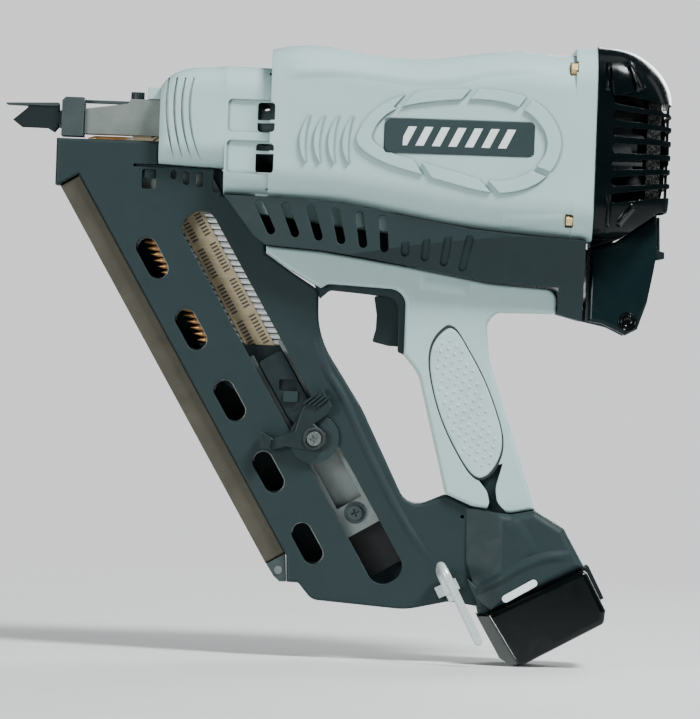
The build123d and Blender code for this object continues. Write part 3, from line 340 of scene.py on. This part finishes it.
materials = {
    "charcoal_plastic": moulded("charcoal_plastic", CHARCOAL, 0.56, 1500, 0.06, 0.1, 1.9, 0.9, specular=0.24),
    "grey_plastic": moulded("grey_plastic", HOUSING_GREY, 0.46, 2600, 0.02, 0.035, 1.12, 0.9, specular=0.4),
    "gloss_black": moulded("gloss_black", (0.0008, 0.0018, 0.002), 0.17, 2600, 0.001, 0.05, 3.0,
                           specular=0.3),
    "soft_pad": elastomer("soft_pad", (0.40, 0.535, 0.525), 0.6),
    "badge": moulded("badge", (0.022, 0.038, 0.04), 0.55, 1800, 0.01, 0.06, 2.0, specular=0.25),
    "brass_bolt": metal("brass_bolt", (0.72, 0.5, 0.24), 0.33, stain=0.6),
    "cast_metal": metal("cast_metal", (0.21, 0.236, 0.218), 0.58, grain=1600, depth=0.08, metallic=0.7),
    "dark_steel": metal("dark_steel", (0.058, 0.078, 0.08), 0.5, grain=1200, depth=0.03, metallic=0.6,
                        edge_light=3.0),
    "steel": metal("steel", (0.27, 0.305, 0.29), 0.4, brushed=ALONG_MAGAZINE, stain=0.7),
    "bright_steel": metal("bright_steel", (0.62, 0.68, 0.67), 0.3, depth=0.01, metallic=0.35, stain=0.8,
                          edge_light=1.05),
    "aluminium": metal("aluminium", (0.085, 0.078, 0.058), 0.5, brushed=ALONG_MAGAZINE, metallic=0.6,
                       edge_light=1.25),
    # painted shade: the head's alloy is given a dark colour because it is seen in shade through the louvres
    "head_alloy": metal("head_alloy", (0.20, 0.21, 0.21), 0.36, grain=700, stain=0.6),
    "nail_steel": coated_nails(),
    "paper": kraft_paper(),
    "black_plastic": moulded("black_plastic", (0.009, 0.017, 0.0185), 0.45, 1800, 0.03, 0.08, 3.0,
                             specular=0.3),
    "band_plastic": moulded("band_plastic", (0.048, 0.054, 0.05), 0.45, 1500, 0.05, 0.06, 1.5, specular=0.35),
    "light_plastic": moulded("light_plastic", (0.72, 0.78, 0.77), 0.38, 2200, 0.01, 0.03, 1.1),
    "black_rubber": elastomer("black_rubber", (0.010, 0.014, 0.015)),
    "board": circuit_board(),
    "ceramic_white": moulded("ceramic_white", (0.75, 0.75, 0.7), 0.2, depth=0.01, edge_light=1.1, coat=0.7),
    "can_metal": metal("can_metal", (0.78, 0.79, 0.78), 0.3, metallic=0.7, stain=0.88),
    "cell_wrap": moulded("cell_wrap", (0.03, 0.12, 0.26), 0.3, depth=0.02, edge_light=1.3, coat=0.4),
    "filter_foam": foam(),
}

# nodes whose finish differs a little from the rest of their slot
variants = {
    "fuel_door": moulded("door_black", (0.004, 0.011, 0.0125), 0.27, 2200, 0.01, 0.04, 2.2, specular=0.18),
    "head_cover": moulded("cover_black", (0.0012, 0.003, 0.0035), 0.22, 2200, 0.003, 0.05, 2.5, specular=0.2),
    "contact_foot": metal("blackened_steel", (0.006, 0.014, 0.0155), 0.5, grain=1200, metallic=0.5,
                          edge_light=4.0),
    # the channel's steel carries painted shade down in its pocket
    "nail_channel": metal("channel_steel", (0.33, 0.37, 0.35), 0.4, brushed=ALONG_MAGAZINE, stain=0.75,
                          painted_shade_from=CHANNEL_SHADE_START),
    "feeder_fittings": metal("oxidised_steel", (0.028, 0.046, 0.048), 0.5, grain=900, metallic=0.6,
                             edge_light=3.0),
}


def dress_cad_nodes():
    """Gives every CAD node its slot's material, and smooth shading across gentle angles."""
    slots = {row["node"]: row["material_slot"] for row in frame["record"]["subparts"]}
    for name, node in frame["nodes"].items():
        mesh = node.data
        mesh.materials.clear()
        mesh.materials.append(variants.get(name) or materials[slots[name]])
        mesh.polygons.foreach_set("material_index", [0] * len(mesh.polygons))
        mesh.shade_smooth()
        mesh.set_sharp_from_angle(angle=SMOOTH_ANGLE)


# ---- pieces made here ---------------------------------------------------------------------------------

def surface_of(*names):
    """One search tree over several CAD nodes' surfaces, in metres."""
    vertices, faces = [], []
    for name in names:
        mesh = frame["nodes"][name].data
        first = len(vertices)
        vertices.extend(v.co.copy() for v in mesh.vertices)
        faces.extend([first + k for k in face.vertices] for face in mesh.polygons)
    return BVHTree.FromPolygons(vertices, faces)


def face_y(tree, x, z, sign):
    """Outermost y in millimetres of a surface at a side-view point, on the side of sign, or None."""
    found = tree.ray_cast(Vector((x * MM, sign * PROBE_DISTANCE, z * MM)), Vector((0, -sign, 0)))[0]
    return None if found is None else found.y / MM


def side_middle(node):
    """Middle of a CAD node's box in the side view, in millimetres."""
    low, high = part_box(node)
    return (low.x + high.x) / 2 / MM, (low.z + high.z) / 2 / MM


def new_piece(name, vertices, faces, material, body="frame"):
    """A mesh object from points in millimetres, riding on a CAD body."""
    mesh = bpy.data.meshes.new(name)
    mesh.from_pydata([(x * MM, y * MM, z * MM) for x, y, z in vertices], [], faces)
    mesh.validate()
    work = bmesh.new()
    work.from_mesh(mesh)
    bmesh.ops.recalc_face_normals(work, faces=work.faces)
    work.to_mesh(mesh)
    work.free()
    mesh.materials.append(materials[material])
    mesh.shade_smooth()
    mesh.set_sharp_from_angle(angle=SMOOTH_ANGLE)
    piece = bpy.data.objects.new(name, mesh)
    bpy.context.scene.collection.objects.link(piece)
    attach(piece, body)
    return piece


def catmull_rom(a, b, c, d, t):
    """The curve from b to c at share t, with a and d as the points beside them."""
    square = (2 * a - 5 * b + 4 * c - d) * t * t
    cube = (3 * b - a - 3 * c + d) * t ** 3
    return 0.5 * (2 * b + (c - a) * t + square + cube)


def smooth_line(points, per_span=10):
    """Catmull-Rom points through a few side-view points."""
    ends = [tuple(2 * a - b for a, b in zip(points[0], points[1]))]
    ends += [*points, tuple(2 * a - b for a, b in zip(points[-1], points[-2]))]
    line = []
    for p0, p1, p2, p3 in zip(ends, ends[1:], ends[2:], ends[3:]):
        for step in range(per_span):
            t = step / per_span
            line.append(tuple(catmull_rom(*values, t) for values in zip(p0, p1, p2, p3)))
    return [*line, points[-1]]


def ridge(name, tree, points, width, height, sign, material, across=8, fade=0.18):
    """A soft raised line on a moulded surface: it follows the surface and fades out at both ends."""
    least_swell, sunk_edge, fallback_y = 0.02, 0.03, 15.0
    line = smooth_line(points)
    rows = []
    for number, (x, z) in enumerate(line):
        ahead, behind = line[min(number + 1, len(line) - 1)], line[max(number - 1, 0)]
        run = Vector((ahead[0] - behind[0], ahead[1] - behind[1])).normalized()
        share = number / (len(line) - 1)
        swell = min(1.0, share / fade, (1 - share) / fade)
        swell = max(least_swell, math.sin(swell * math.pi / 2))
        row = []
        for step in range(across + 1):
            u = 2 * step / across - 1
            px, pz = x - run.y * u * width / 2, z + run.x * u * width / 2
            y = face_y(tree, px, pz, sign)
            if y is None:
                y = rows[-1][step][1] if rows else sign * fallback_y
            lift = height * swell * (1 - u * u) ** 2 - sunk_edge
            row.append((px, y + sign * lift, pz))
        rows.append(row)
    return new_strip(name, rows, sign, material)


def new_strip(name, rows, sign, material, sunk=0.45):
    """A closed thin solid from a grid of surface points, its back sunk below the surface."""
    count = len(rows[0])
    vertices = [p for row in rows for p in row] + [(x, y - sign * sunk, z) for row in rows for x, y, z in row]
    back = len(rows) * count
    faces = []
    for i in range(len(rows) - 1):
        for j in range(count - 1):
            a, b, c, d = i * count + j, i * count + j + 1, (i + 1) * count + j + 1, (i + 1) * count + j
            faces += [(a, b, c, d), (back + d, back + c, back + b, back + a)]
    rim = list(range(count)) + [i * count + count - 1 for i in range(1, len(rows))]
    rim += [(len(rows) - 1) * count + j for j in range(count - 2, -1, -1)]
    rim += [i * count for i in range(len(rows) - 2, 0, -1)]
    for a, b in zip(rim, rim[1:] + rim[:1]):
        faces.append((a, b, back + b, back + a))
    return new_piece(name, vertices, faces, material)


def inlay_outline(tree, middle, y, steps=96):
    """The pad's outline, found from inside it: side-view points in millimetres."""
    points = []
    for k in range(steps):
        way = Vector((math.cos(math.tau * k / steps), 0, math.sin(math.tau * k / steps)))
        found = tree.ray_cast(Vector((middle[0] * MM, y * MM, middle[1] * MM)), way)[0]
        points.append((found.x / MM, found.z / MM))
    return points


def inlay_border(side_name, sign):
    """The dark lip that shows round the soft pad."""
    node = "inlay_" + side_name
    low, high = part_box(node)
    outer_y = max(abs(low.y), abs(high.y)) / MM
    probe_depth = 1.4
    line = inlay_outline(surface_of(node), side_middle(node), sign * (outer_y - probe_depth))
    # side-view distance from the pad's wall, and depth below the pad's face
    profile = [(0.02, 2.0), (0.02, 1.15), (0.3, 0.85), (0.9, 0.8), (1.35, 1.0), (1.5, 2.0)]
    vertices, faces = [], []
    for k, (x, z) in enumerate(line):
        before, after = line[k - 1], line[(k + 1) % len(line)]
        run = Vector((after[0] - before[0], after[1] - before[1])).normalized()
        for out, depth in profile:
            vertices.append((x + run.y * out, sign * (outer_y - depth), z - run.x * out))
    count = len(profile)
    for k in range(len(line)):
        following = (k + 1) % len(line)
        for j in range(count):
            nxt = (j + 1) % count
            faces.append((k * count + j, k * count + nxt, following * count + nxt, following * count + j))
    return new_piece("inlay_border_" + side_name, vertices, faces, "black_rubber")


def dome(x, y, z, radius, height, sign, rings=3, sides=10, sunk=0.35):
    """Points and faces of one low round dot, its foot sunk below y."""
    vertices, faces = [(x, y + sign * height, z)], []
    for ring in range(1, rings + 2):
        reach = radius * min(ring, rings) / rings
        rise = height * (1 - (min(ring, rings) / rings) ** 2) - (sunk if ring > rings else 0.0)
        for k in range(sides):
            turn = math.tau * k / sides
            vertices.append((x + reach * math.cos(turn), y + sign * rise, z + reach * math.sin(turn)))
    for k in range(sides):
        following = (k + 1) % sides
        faces.append((0, 1 + k, 1 + following))
        for ring in range(rings):
            a, b = 1 + ring * sides, 1 + (ring + 1) * sides
            faces.append((a + k, b + k, b + following, a + following))
    faces.append([1 + rings * sides + k for k in range(sides)])
    return vertices, faces


def inlay_dots(side_name, sign, pitch=4.6, lean=math.radians(20)):
    """Staggered low dots over the soft pad."""
    node = "inlay_" + side_name
    low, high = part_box(node)
    tree = surface_of(node)
    middle_x, middle_z = side_middle(node)
    face = max(abs(low.y), abs(high.y)) / MM
    rows_each_way, columns_each_way, row_step = 12, 7, 0.87
    dot_radius, dot_height, margin, face_depth = 1.15, 0.55, 2.9, 0.3
    ring = [math.tau * k / 8 for k in range(8)]
    vertices, faces = [], []
    for row in range(-rows_each_way, rows_each_way + 1):
        for column in range(-columns_each_way, columns_each_way + 1):
            along, across = row * pitch * row_step, (column + (row % 2) / 2) * pitch
            x = middle_x + across * math.cos(lean) + along * math.sin(lean)
            z = middle_z + across * math.sin(lean) - along * math.cos(lean)
            probes = [(x + margin * math.cos(turn), z + margin * math.sin(turn)) for turn in ring]
            heights = [face_y(tree, px, pz, sign) for px, pz in [(x, z), *probes]]
            if any(y is None or abs(y) < face - face_depth for y in heights):
                continue
            dots, dot_faces = dome(x, heights[0], z, dot_radius, dot_height, sign)
            faces += [[len(vertices) + k for k in f] for f in dot_faces]
            vertices += dots
    return new_piece("inlay_dots_" + side_name, vertices, faces, "soft_pad")


def badge_place():
    """Middle and half-size of the badge's seat in the side view."""
    low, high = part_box("badge_plates")
    return side_middle("badge_plates"), ((high.x - low.x) / 2 / MM, (high.z - low.z) / 2 / MM)


def badge_face(tree, x, z, sign):
    """Smooth outer y of the badge: the mean of a few probes."""
    fallback_y = 47.0
    steps = ((0, 0), (1.2, 0), (-1.2, 0), (0, 0.8), (0, -0.8))
    probes = [face_y(tree, x + dx, z + dz, sign) for dx, dz in steps]
    kept = [y for y in probes if y is not None]
    return sum(kept) / len(kept) if kept else sign * fallback_y


def badge_plate(side_name, sign):
    """The blank badge, a smooth plate that follows the housing."""
    tree = surface_of("badge_plates")
    middle, half = badge_place()
    spans = [0, 0.03, 0.06, 0.1, 0.2, 0.35, 0.5, 0.65, 0.8, 0.9, 0.94, 0.97, 1]
    radius, gap = 2.0, 0.05
    probe_x, probe_z = 0.97, 0.92
    rows = []
    for share in spans:
        x = middle[0] + (2 * share - 1) * (half[0] - gap)
        inset = max(0.0, abs(2 * share - 1) * half[0] - (half[0] - radius))
        tall = half[1] - radius + math.sqrt(max(0.0, radius ** 2 - inset ** 2)) - gap
        row = []
        for j in range(13):
            z = middle[1] + tall * (j / 6 - 1)
            inner = (middle[0] + (x - middle[0]) * probe_x, middle[1] + (z - middle[1]) * probe_z)
            row.append((x, badge_face(tree, *inner, sign), z))
        rows.append(row)
    return new_strip("badge_plate_" + side_name, rows, sign, "badge", sunk=1.0)


def badge_marks(side_name, sign):
    """A run of plain slanted bars on the blank badge."""
    tree = surface_of("badge_plates")
    middle, half = badge_place()
    bars, bar_step, first_bar, raised = 7, 9.2, 31, 0.12
    lean, tall, wide = 2.6, half[1] - 4.2, 4.6
    for k in range(bars):
        start = middle[0] - first_bar + bar_step * k
        rows = []
        for step in range(5):
            s = step / 2 - 1
            row = []
            for j in range(5):
                x, z = start + lean * s + wide * j / 4, middle[1] + tall * s
                row.append((x, badge_face(tree, x, z, sign) + sign * raised, z))
            rows.append(row)
        new_strip(f"badge_bar_{k + 1}_{side_name}", rows, sign, "light_plastic")


def moulded_lines(side_name, sign):
    """Soft lines moulded into the shells: beside the finger loop, over the battery, on the handle."""
    tree = surface_of("housing_" + side_name)
    loop = [(149.5, -118), (156, -136), (166, -152), (182, -184), (200, -216), (219, -244)]
    ridge("loop_line_" + side_name, tree, loop, 5.5, 1.2, sign, "charcoal_plastic")
    swell = [(243, -257), (256, -250.5), (268, -243), (282, -237), (297, -235)]
    ridge("battery_swell_" + side_name, tree, swell, 7.0, 1.5, sign, "charcoal_plastic")
    shoulder = [(262, -217), (269, -226), (274, -236)]
    ridge("foot_shoulder_" + side_name, tree, shoulder, 10.0, 0.9, sign, "charcoal_plastic")
    grip_tree = surface_of("grip_" + side_name)
    ridge("grip_swell_" + side_name, grip_tree, [(206, -84.5), (220, -86), (234, -87.5)], 9.0, 0.7, sign,
          "grey_plastic", fade=0.12)


def housing_swells(side_name, sign):
    """Soft folds of the grey housing: the long one under its top edge, and the lower bolt's pad."""
    tree = surface_of("cylinder_housing")
    fold = [(126, 29.5), (148, 31.4), (170, 31.2), (198, 28.3), (221, 29.4), (240, 34.6), (283, 38.0)]
    ridge("housing_fold_" + side_name, tree, fold, 9.0, 1.0, sign, "grey_plastic", fade=0.12)
    ridge("bolt_pad_" + side_name, tree, [(250, -49.5), (268, -49), (285, -48.3)], 8.0, 0.9, sign,
          "grey_plastic", fade=0.1)


def rounded_block(name, outline, half, rounding, material, steps=4):
    """A block with a side-view outline and rounded side edges, from -half to half in Y."""
    middle = (sum(x for x, z in outline) / len(outline), sum(z for x, z in outline) / len(outline))
    sections = []
    for step in range(steps + 1):
        turn = math.pi / 2 * step / steps
        sections.append((half - rounding * (1 - math.sin(turn)), rounding * (1 - math.cos(turn))))
    levels = [(-y, inset) for y, inset in reversed(sections)] + sections
    vertices, faces = [], []
    for y, inset in levels:
        for x, z in outline:
            reach = math.hypot(x - middle[0], z - middle[1])
            share = 1 - inset / reach
            vertices.append((middle[0] + share * (x - middle[0]), y, middle[1] + share * (z - middle[1])))
    count = len(outline)
    for level in range(len(levels) - 1):
        for k in range(count):
            a, b = level * count + k, level * count + (k + 1) % count
            faces.append((a, b, b + count, a + count))
    faces.append(list(range(count)))
    faces.append([(len(levels) - 1) * count + k for k in range(count)])
    return new_piece(name, vertices, faces, material)


def gap_fillers():
    """The foot's toe in front of the battery, and the seal between the head cover and the fuel door."""
    toe = [(238.6, -250), (241.5, -257.6), (244.2, -263), (246.0, -270.4), (251.6, -270.1), (254.6, -267.4),
           (250, -258)]
    rounded_block("foot_toe", toe, 19.0, 2.0, "charcoal_plastic")
    lip = [(301.4, -61.6), (304, -60.2), (309, -58.4), (314, -57.2), (314, -58.4), (309, -59.6),
           (303.5, -61.6), (301.4, -62.4)]
    rounded_block("cover_seal", lip, 21.5, 0.3, "black_rubber")


def filter_ribs():
    """Upright black ribs of the filter's holder, before and behind the foam pad."""
    low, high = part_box("air_filter")
    pad_front, pad_back, bottom = low.x / MM, high.x / MM, low.z / MM + 2.5
    half_thickness, rounding = 1.2, 0.4
    front = [(pad_front - 6.5, bottom), (pad_front - 0.2, bottom), (pad_front - 0.2, 19),
             (pad_front - 6.5, 24)]
    rounded_block("filter_rib_front", front, half_thickness, rounding, "gloss_black")
    rear = [(pad_back + 0.1, bottom), (pad_back + 2.6, bottom + 1), (pad_back + 4.0, -24),
            (pad_back + 4.0, 8), (pad_back + 2.6, 16), (pad_back + 0.1, 19)]
    rounded_block("filter_rib_rear", rear, half_thickness, rounding, "gloss_black")


def door_gap_shade(side_name, sign, steps=8):
    """Black strip beside the bay, in the gap between the housing's rear edge and the fuel door: painted shade
    that darkens the gap and hides the background.
    """
    low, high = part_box("fuel_door")
    front, back = low.x / MM - 1.5, low.x / MM + 0.02
    outer = sign * (high.y / MM - 2.6)
    inner = outer - sign * 1.6
    bottom, top = low.z / MM + 7.0, high.z / MM - 20.0
    vertices, faces = [], [(0, 1, 2, 3), tuple(4 * steps + k for k in range(4))]
    for step in range(steps + 1):
        z = bottom + (top - bottom) * step / steps
        vertices += [(front, inner, z), (back, inner, z), (back, outer, z), (front, outer, z)]
    for step in range(steps):
        for k in range(4):
            a, b = 4 * step + k, 4 * step + (k + 1) % 4
            faces.append((a, b, b + 4, a + 4))
    new_piece("door_gap_shade_" + side_name, vertices, faces, "black_rubber")


def cover_bosses(side_name, sign):
    """Raised folds beside the screws at the head cover's front corners: points, width and height."""
    tree = surface_of("head_cover")
    lines = {
        "upper_front": ([(306.5, 41), (306.5, 33), (306.5, 25)], 3.4, 1.6),
        "upper_rear": ([(317, 42), (321, 35), (325.5, 25.5)], 6.0, 3.0),
        "lower_front": ([(309.5, -34), (309.3, -43), (309, -51)], 3.0, 1.8),
        "lower_rear": ([(323.5, -38.5), (319, -44), (314.5, -50)], 4.4, 2.0),
    }
    for place, (points, width, height) in lines.items():
        ridge(f"cover_{place}_{side_name}", tree, points, width, height, sign, "gloss_black", fade=0.12)


def turned(name, middle, y, sign, profile, material, body, closed=False, sides=48):
    """A turned piece on a side face: profile points are radius and height above y.

    A closed profile makes a ring, and an open one a button with flat ends.
    """
    count = len(profile)
    vertices, faces = [], []
    for radius, rise in profile:
        for k in range(sides):
            turn = math.tau * k / sides
            x, z = middle[0] + radius * math.cos(turn), middle[1] + radius * math.sin(turn)
            vertices.append((x, y + sign * rise, z))
    for i in range(count if closed else count - 1):
        first, second = i * sides, (i + 1) % count * sides
        for k in range(sides):
            following = (k + 1) % sides
            faces.append((first + k, first + following, second + following, second + k))
    if not closed:
        faces.append(list(range(sides)))
        faces.append([(count - 1) * sides + k for k in range(sides)])
    return new_piece(name, vertices, faces, material, body)


def lever_collar():
    """The black collar round the lever's screw."""
    lever_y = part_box("lever_screw")[0].y / MM + 2.0
    profile = [(6.4, -1.0), (6.4, 0.5), (6.0, 1.0), (5.2, 1.1), (4.5, 0.7), (4.3, 0.1), (4.3, -1.0)]
    turned("lever_collar", side_middle("lever_screw"), lever_y, -1, profile, "black_rubber", "feed_lever",
           closed=True)


def sight_insert():
    """The slightly crowned insert in the nose's small sight window."""
    left, right, low, high, face = 48.2, 55.8, -31.8, -27.0, -12.6
    crown_height = 0.5
    rows = []
    for share in (0, 0.08, 0.29, 0.5, 0.71, 0.92, 1):
        crown = crown_height * math.sin(math.pi * share)
        x = left + (right - left) * share
        rows.append([(x, face - crown, low + (high - low) * k / 4) for k in range(5)])
    new_strip("sight_insert", rows, -1, "charcoal_plastic", sunk=2.5)


def door_boss(side_name, sign):
    """Stepped boss round the door's hinge pin."""
    low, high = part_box("fuel_door")
    y = (high.y if sign > 0 else low.y) / MM
    profile = [(5.4, -2.0), (5.4, 0.35), (5.1, 0.65), (4.5, 0.65), (4.2, 0.25), (3.9, 0.25), (3.6, 0.6),
               (2.4, 0.6), (2.0, 0.3), (1.2, 0.2)]
    turned("door_boss_" + side_name, side_middle("door_pin"), y, sign, profile, "gloss_black", "door")


# ---- stage --------------------------------------------------------------------------------------------

def fading_floor():
    """A pale round floor under the tool that fades out into the background."""
    radius = 1.6
    mesh = bpy.data.meshes.new("floor")
    ring = [(radius * math.cos(a), radius * math.sin(a), 0) for a in [math.tau * k / 64 for k in range(64)]]
    mesh.from_pydata(ring, [], [list(range(64))])
    floor = bpy.data.objects.new("floor", mesh)
    floor.location = ((LOW.x + HIGH.x) / 2, 0, LOW.z - 0.0005)
    bpy.context.scene.collection.objects.link(floor)
    nodes = Nodes("floor")
    tone = nodes.mix(nodes.noise(14, 5), (0.60, 0.61, 0.61, 1), (0.66, 0.67, 0.67, 1))
    nodes.put(nodes.shader, "Base Color", tone)
    nodes.put(nodes.shader, "Roughness", 0.85)
    clear = nodes.tree.nodes.new("ShaderNodeBsdfTransparent")
    blend = nodes.tree.nodes.new("ShaderNodeMixShader")
    length = nodes.tree.nodes.new("ShaderNodeVectorMath")
    length.operation = "LENGTH"
    nodes.link(nodes.place, length.inputs[0])
    nodes.put(blend, 0, nodes.spread(length.outputs["Value"], 0.25, 1.4))
    nodes.link(nodes.shader.outputs[0], blend.inputs[1])
    nodes.link(clear.outputs[0], blend.inputs[2])
    nodes.link(blend.outputs[0], nodes.output.inputs["Surface"])
    mesh.materials.append(nodes.material)


def pale_world():
    """Pale behind the tool, dim in reflections, so that black gloss stays black."""
    world = bpy.data.worlds.new("studio")
    world.use_nodes = True
    tree = world.node_tree
    dim = tree.nodes["Background"]
    dim.inputs["Color"].default_value = (0.75, 0.88, 1.0, 1)
    dim.inputs["Strength"].default_value = 0.09
    pale = tree.nodes.new("ShaderNodeBackground")
    pale.inputs["Color"].default_value = (0.86, 0.87, 0.87, 1)
    pale.inputs["Strength"].default_value = 1.25
    seen = tree.nodes.new("ShaderNodeLightPath").outputs["Is Camera Ray"]
    blend = tree.nodes.new("ShaderNodeMixShader")
    tree.links.new(seen, blend.inputs[0])
    tree.links.new(dim.outputs[0], blend.inputs[1])
    tree.links.new(pale.outputs[0], blend.inputs[2])
    tree.links.new(blend.outputs[0], tree.nodes["World Output"].inputs["Surface"])
    bpy.context.scene.world = world


def area_light(name, offset, size, power, colour=(1, 1, 1)):
    """A soft box at an offset from the tool's middle, aimed at it."""
    data = bpy.data.lights.new(name, "AREA")
    data.shape = "RECTANGLE"
    data.size, data.size_y = size
    data.energy = power
    data.color = colour
    light = bpy.data.objects.new(name, data)
    light.location = (LOW + HIGH) / 2 + Vector(offset)
    light.rotation_euler = Vector(offset).to_track_quat("Z", "Y").to_euler()
    bpy.context.scene.collection.objects.link(light)


def studio_lights():
    area_light("key", (1.0, -1.0, 1.75), (0.7, 0.5), 96, (0.95, 1.0, 1.0))
    area_light("fill", (-1.5, -1.9, 0.2), (0.9, 0.7), 40, (0.96, 1.0, 1.0))
    area_light("top", (0.2, -0.2, 1.7), (1.6, 0.5), 2.5)
    area_light("rim", (1.9, 0.3, 0.9), (0.5, 1.2), 3)
    area_light("back_key", (0.9, 2.2, 0.9), (1.2, 1.2), 55)
    area_light("back_fill", (-1.4, 1.9, 0.1), (1.1, 1.1), 26)


def matched_camera():
    data = bpy.data.cameras.new("camera")
    data.sensor_fit = "HORIZONTAL"
    data.sensor_width = CAMERA_LENS * VIEW_WIDTH / CAMERA_DISTANCE
    data.lens = CAMERA_LENS
    camera = bpy.data.objects.new("camera", data)
    place = Matrix.Translation((VIEW_MIDDLE[0], -CAMERA_DISTANCE, VIEW_MIDDLE[1]))
    upright = Matrix.Rotation(math.radians(90), 4, "X")
    camera.matrix_world = place @ upright @ Matrix.Rotation(VIEW_ROLL, 4, "Z")
    bpy.context.scene.collection.objects.link(camera)
    bpy.context.scene.camera = camera


matched_camera()
fading_floor()
pale_world()
studio_lights()
dress_cad_nodes()
for side_name, sign in (("left", -1), ("right", 1)):
    inlay_border(side_name, sign)
    inlay_dots(side_name, sign)
    badge_marks(side_name, sign)
    cover_bosses(side_name, sign)
    door_boss(side_name, sign)
    moulded_lines(side_name, sign)
    housing_swells(side_name, sign)
    door_gap_shade(side_name, sign)
lever_collar()
sight_insert()
gap_fillers()
filter_ribs()
badge_plate_pair = [badge_plate("left", -1), badge_plate("right", 1)]
for plate in badge_plate_pair:
    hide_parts("badge_plates")
